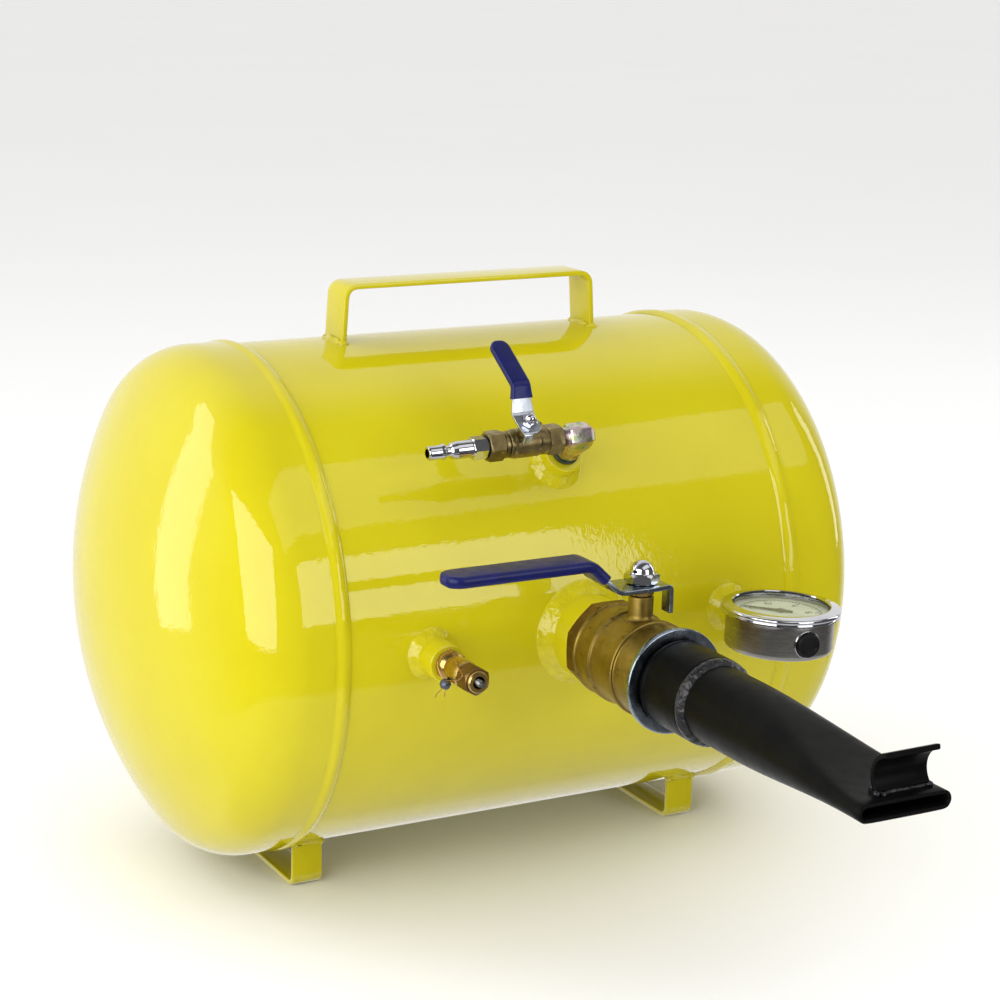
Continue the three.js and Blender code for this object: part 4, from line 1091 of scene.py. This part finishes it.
def gauge_pieces():
    bottom, rim = -9.2, 13.3
    case = [(0, bottom)] + arc((27.6, bottom + 3.4), 3.4, -90, 0, 8)
    case += [(31.0, 8.6), (31.0, 12.6), (30.6, rim), (30.0, rim), (30.0, bottom + 1.6),
             (0, bottom + 1.6)]
    piece("gauge_case_drawn", [lathe(case, 192)], GAUGE, CASE_STEEL, ["gauge_case"])
    bezel = [(31.4, 11.6), (33.4, 11.6), (34.0, 12.0), (34.0, 12.5), (33.5, 12.9)]
    bezel += arc((32.9, 14.6), 1.58, -48, 96, 12)
    bezel += [(31.2, 16.5), (28.9, 17.0), (28.0, 16.9), (27.6, 16.2), (27.8, 15.8), (31.4, 15.8)]
    piece("gauge_bezel_ring", [lathe(bezel, 224)], GAUGE, CHROME, ["gauge_bezel"],
          sharp=50)
    gasket = [(27.2, 15.7), (27.9, 15.7), (27.9, 16.4), (27.2, 16.2)]
    piece("gauge_gasket", [lathe(gasket, 160)], GAUGE, RUBBER)
    lens = fillet([(0, 13.6), (31.2, 13.6), (31.2, 15.6), (0, 15.6)], 0.3, 3)
    piece("gauge_window_disc", [lathe(lens, 128)], GAUGE, LENS, ["gauge_lens"])
    dial = [(1.8, 11.4), (29.5, 11.4), (29.6, 11.7), (29.5, 12.0), (1.8, 12.0)]
    piece("gauge_dial_plate", [lathe(dial, 128)], GAUGE, DIAL, ["gauge_dial"])
    piece("gauge_dial_marks", dial_marks(), GAUGE @ turn_z(DIAL_QUARTER), INK,
          sharp=30)
    needle = [(-1.5, 0), (-1.2, 6.2), (-0.6, 6.8), (0.6, 6.8), (1.2, 6.2), (1.5, 0), (0.35, -21.6),
              (-0.35, -21.6)]
    hub = lathe(fillet([(0, 12.4), (3, 12.4), (3, 13.2), (0, 13.2)], 0.3, 4), 48)
    arbor = lathe([(0, 6.5), (1.2, 6.5), (1.2, 12.6), (0, 12.6)], 24)
    piece("gauge_needle_blade", [extrude(needle[::-1], 12.5, 13.1), hub, arbor],
          GAUGE @ turn_z(225), INK, ["gauge_pointer"], sharp=30,
          body="gauge_needle")
    stem = fillet([(0, 31.3), (6.6, 31.3), (6.6, 38.8), (6.4, 39.2), (6.4, 50.8), (0, 50.8)],
                  0.4, 3)
    square = nut_block(12.8, 31.6, 38.4, 4, chamfer=0.05)
    piece("gauge_stem_block", [lathe(stem, 64), square], GAUGE @ turn_x(-90), MACHINED_BRASS,
          ["gauge_stem"], sharp=30)
    plug = GAUGE @ turn_z(-4.6) @ move(z=1.3) @ turn_x(90)
    cap = [(0, 28.2), (4.2, 28.2), (4.2, 31.2), (7.0, 31.3), (7.2, 31.8), (7.1, 33.2),
           (6.4, 34.0), (5.2, 34.15), (4.4, 33.3), (0, 33.0)]
    piece("gauge_plug_button", [lathe(fillet(cap, 0.3, 3), 72)], plug, RUBBER,
          ["gauge_fill_plug"], sharp=45)
    rim_ring = [(7.3, 29.0), (7.9, 29.0), (7.9, 31.3), (7.6, 31.6), (7.3, 31.3)]
    piece("gauge_plug_rim", [lathe(fillet(rim_ring, 0.2, 3), 72)], plug, CHROME,
          sharp=45)


def dress_kept_nodes():
    """Materials for the inner parts whose CAD shapes are shown as they are."""
    for material, names in (
            (MACHINED_BRASS, ("outlet_valve_stem", "inlet_valve_stem", "gauge_movement",
                              "gauge_bourdon_tube")),
            (CHROME, ("outlet_valve_ball", "inlet_valve_ball")),
            (PTFE, ("outlet_valve_seat_inner", "outlet_valve_seat_outer",
                    "inlet_valve_seat_inner", "inlet_valve_seat_outer")),
            (STEEL_THREAD, ("safety_spring",))):
        for name in names:
            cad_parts[name].data.materials[0] = material


# ---- build -----------------------------------------------------------------------------

tank_pieces()
strap_pieces()
bung_pieces("main", MAIN, 24.5, 172.7, 31.5)
bung_pieces("safety", SAFETY, 11, 170, 15.5)
bung_pieces("gauge", GAUGE_PORT, 10.2, 164, 15.0)
bung_pieces("inlet", INLET, 11.5, INLET_TOP, 16.5)
main_valve()
outlet_pieces()
hook_pieces()
elbow_pieces()
small_valve()
safety_pieces()
gauge_pieces()
dress_kept_nodes()

# ---- stage, light and camera ------------------------------------------------------------


def stage_floor():
    half, level = 16.0, -0.0005
    mesh = bpy.data.meshes.new("stage_floor")
    corners = [(x * half, y * half, level) for x, y in ((-1, -1), (1, -1), (1, 1), (-1, 1))]
    mesh.from_pydata(corners, [], [(0, 1, 2, 3)])
    mesh.materials.append(surface("pale_floor", (0.90, 0.90, 0.90), 0.7,
                                  second=(0.89, 0.89, 0.89), spread=(2, 0.3, 0.7), rough_to=0.8,
                                  level=0.1))
    obj = add_object("stage_floor", mesh)
    obj.visible_glossy = False


def softbox(name, azimuth, elevation, away, width, height, radiance, tilt=0):
    """A flat light facing the tank. Azimuth 0 is in front of the barrel, 90 at the tank's right."""
    a, e = radians(azimuth), radians(elevation)
    towards = Vector((sin(a) * cos(e), -cos(a) * cos(e), sin(e)))
    light = bpy.data.lights.new(name, "AREA")
    light.shape = "RECTANGLE"
    light.size = width
    light.size_y = height
    light.energy = radiance * width * height * pi
    facing = towards.to_track_quat("Z", "Y").to_matrix().to_4x4()
    spot = Matrix.Translation(tank_centre + towards * away)
    add_object(name, light).matrix_world = spot @ facing @ turn_z(tilt)


def world_ramp(tree, value, low, high, floor, ceiling):
    ramp = add_node(tree, "MapRange", From_Min=low, From_Max=high, To_Min=floor, To_Max=ceiling)
    ramp.interpolation_type = "SMOOTHSTEP"
    tree.links.new(value, ramp.inputs["Value"])
    return ramp.outputs["Result"]


def studio():
    """A dim room in front, a white backdrop behind, a white table below and soft boxes."""
    world = bpy.data.worlds.new("studio")
    bpy.context.scene.world = world
    world.use_nodes = True
    tree = world.node_tree
    background = tree.nodes["Background"]
    background.inputs["Color"].default_value = (1, 0.99, 0.97, 1)
    place = add_node(tree, "TexCoord")
    split = add_node(tree, "SeparateXYZ")
    tree.links.new(place.outputs["Generated"], split.inputs["Vector"])
    backdrop = world_ramp(tree, split.outputs["Y"], 0.0, 0.5, 0.12, 0.95)
    table = world_ramp(tree, split.outputs["Z"], -0.50, -0.44, 0.70, 0.0)
    larger = add_node(tree, "Math")
    larger.operation = "MAXIMUM"
    tree.links.new(backdrop, larger.inputs[0])
    tree.links.new(table, larger.inputs[1])
    tree.links.new(larger.outputs[0], background.inputs["Strength"])
    softbox("left_strip", -118, 18, 2.2, 0.55, 2.6, 2.7, tilt=8)
    softbox("left_box", -62, 13, 2.0, 1.9, 1.6, 3.8)
    softbox("front_box", 17, 14, 2.1, 0.95, 0.95, 3.1)
    softbox("ceiling_box", 25, 51, 2.3, 2.8, 1.1, 0.95)
    softbox("right_strip", 88, 16, 2.2, 0.35, 1.6, 3.0)
    light = bpy.data.lights.new("overhead", "SUN")
    light.energy = 1.6
    light.angle = radians(100)
    add_object("overhead", light).visible_glossy = False


def camera():
    """A standing viewpoint at the barrel's left, looking slightly down at the tank."""
    yaw, pitch, roll = radians(CAMERA_YAW), radians(CAMERA_PITCH), radians(CAMERA_ROLL)
    along = Vector((sin(yaw) * cos(pitch), cos(yaw) * cos(pitch), -sin(pitch)))
    right = along.cross(Vector((0, 0, 1))).normalized()
    up = right.cross(along)
    tilted = right * cos(roll) + up * sin(roll)
    upright = up * cos(roll) - right * sin(roll)
    data = bpy.data.cameras.new("camera")
    data.sensor_width = 36
    data.lens = FOCAL_LENGTH
    obj = add_object("camera", data)
    turn = Matrix((tilted, upright, -along)).transposed().to_4x4()
    obj.matrix_world = Matrix.Translation(tank_centre + Vector(CAMERA_SPOT)) @ turn
    bpy.context.scene.camera = obj


bpy.context.scene.view_settings.view_transform = "Standard"
stage_floor()
studio()
camera()
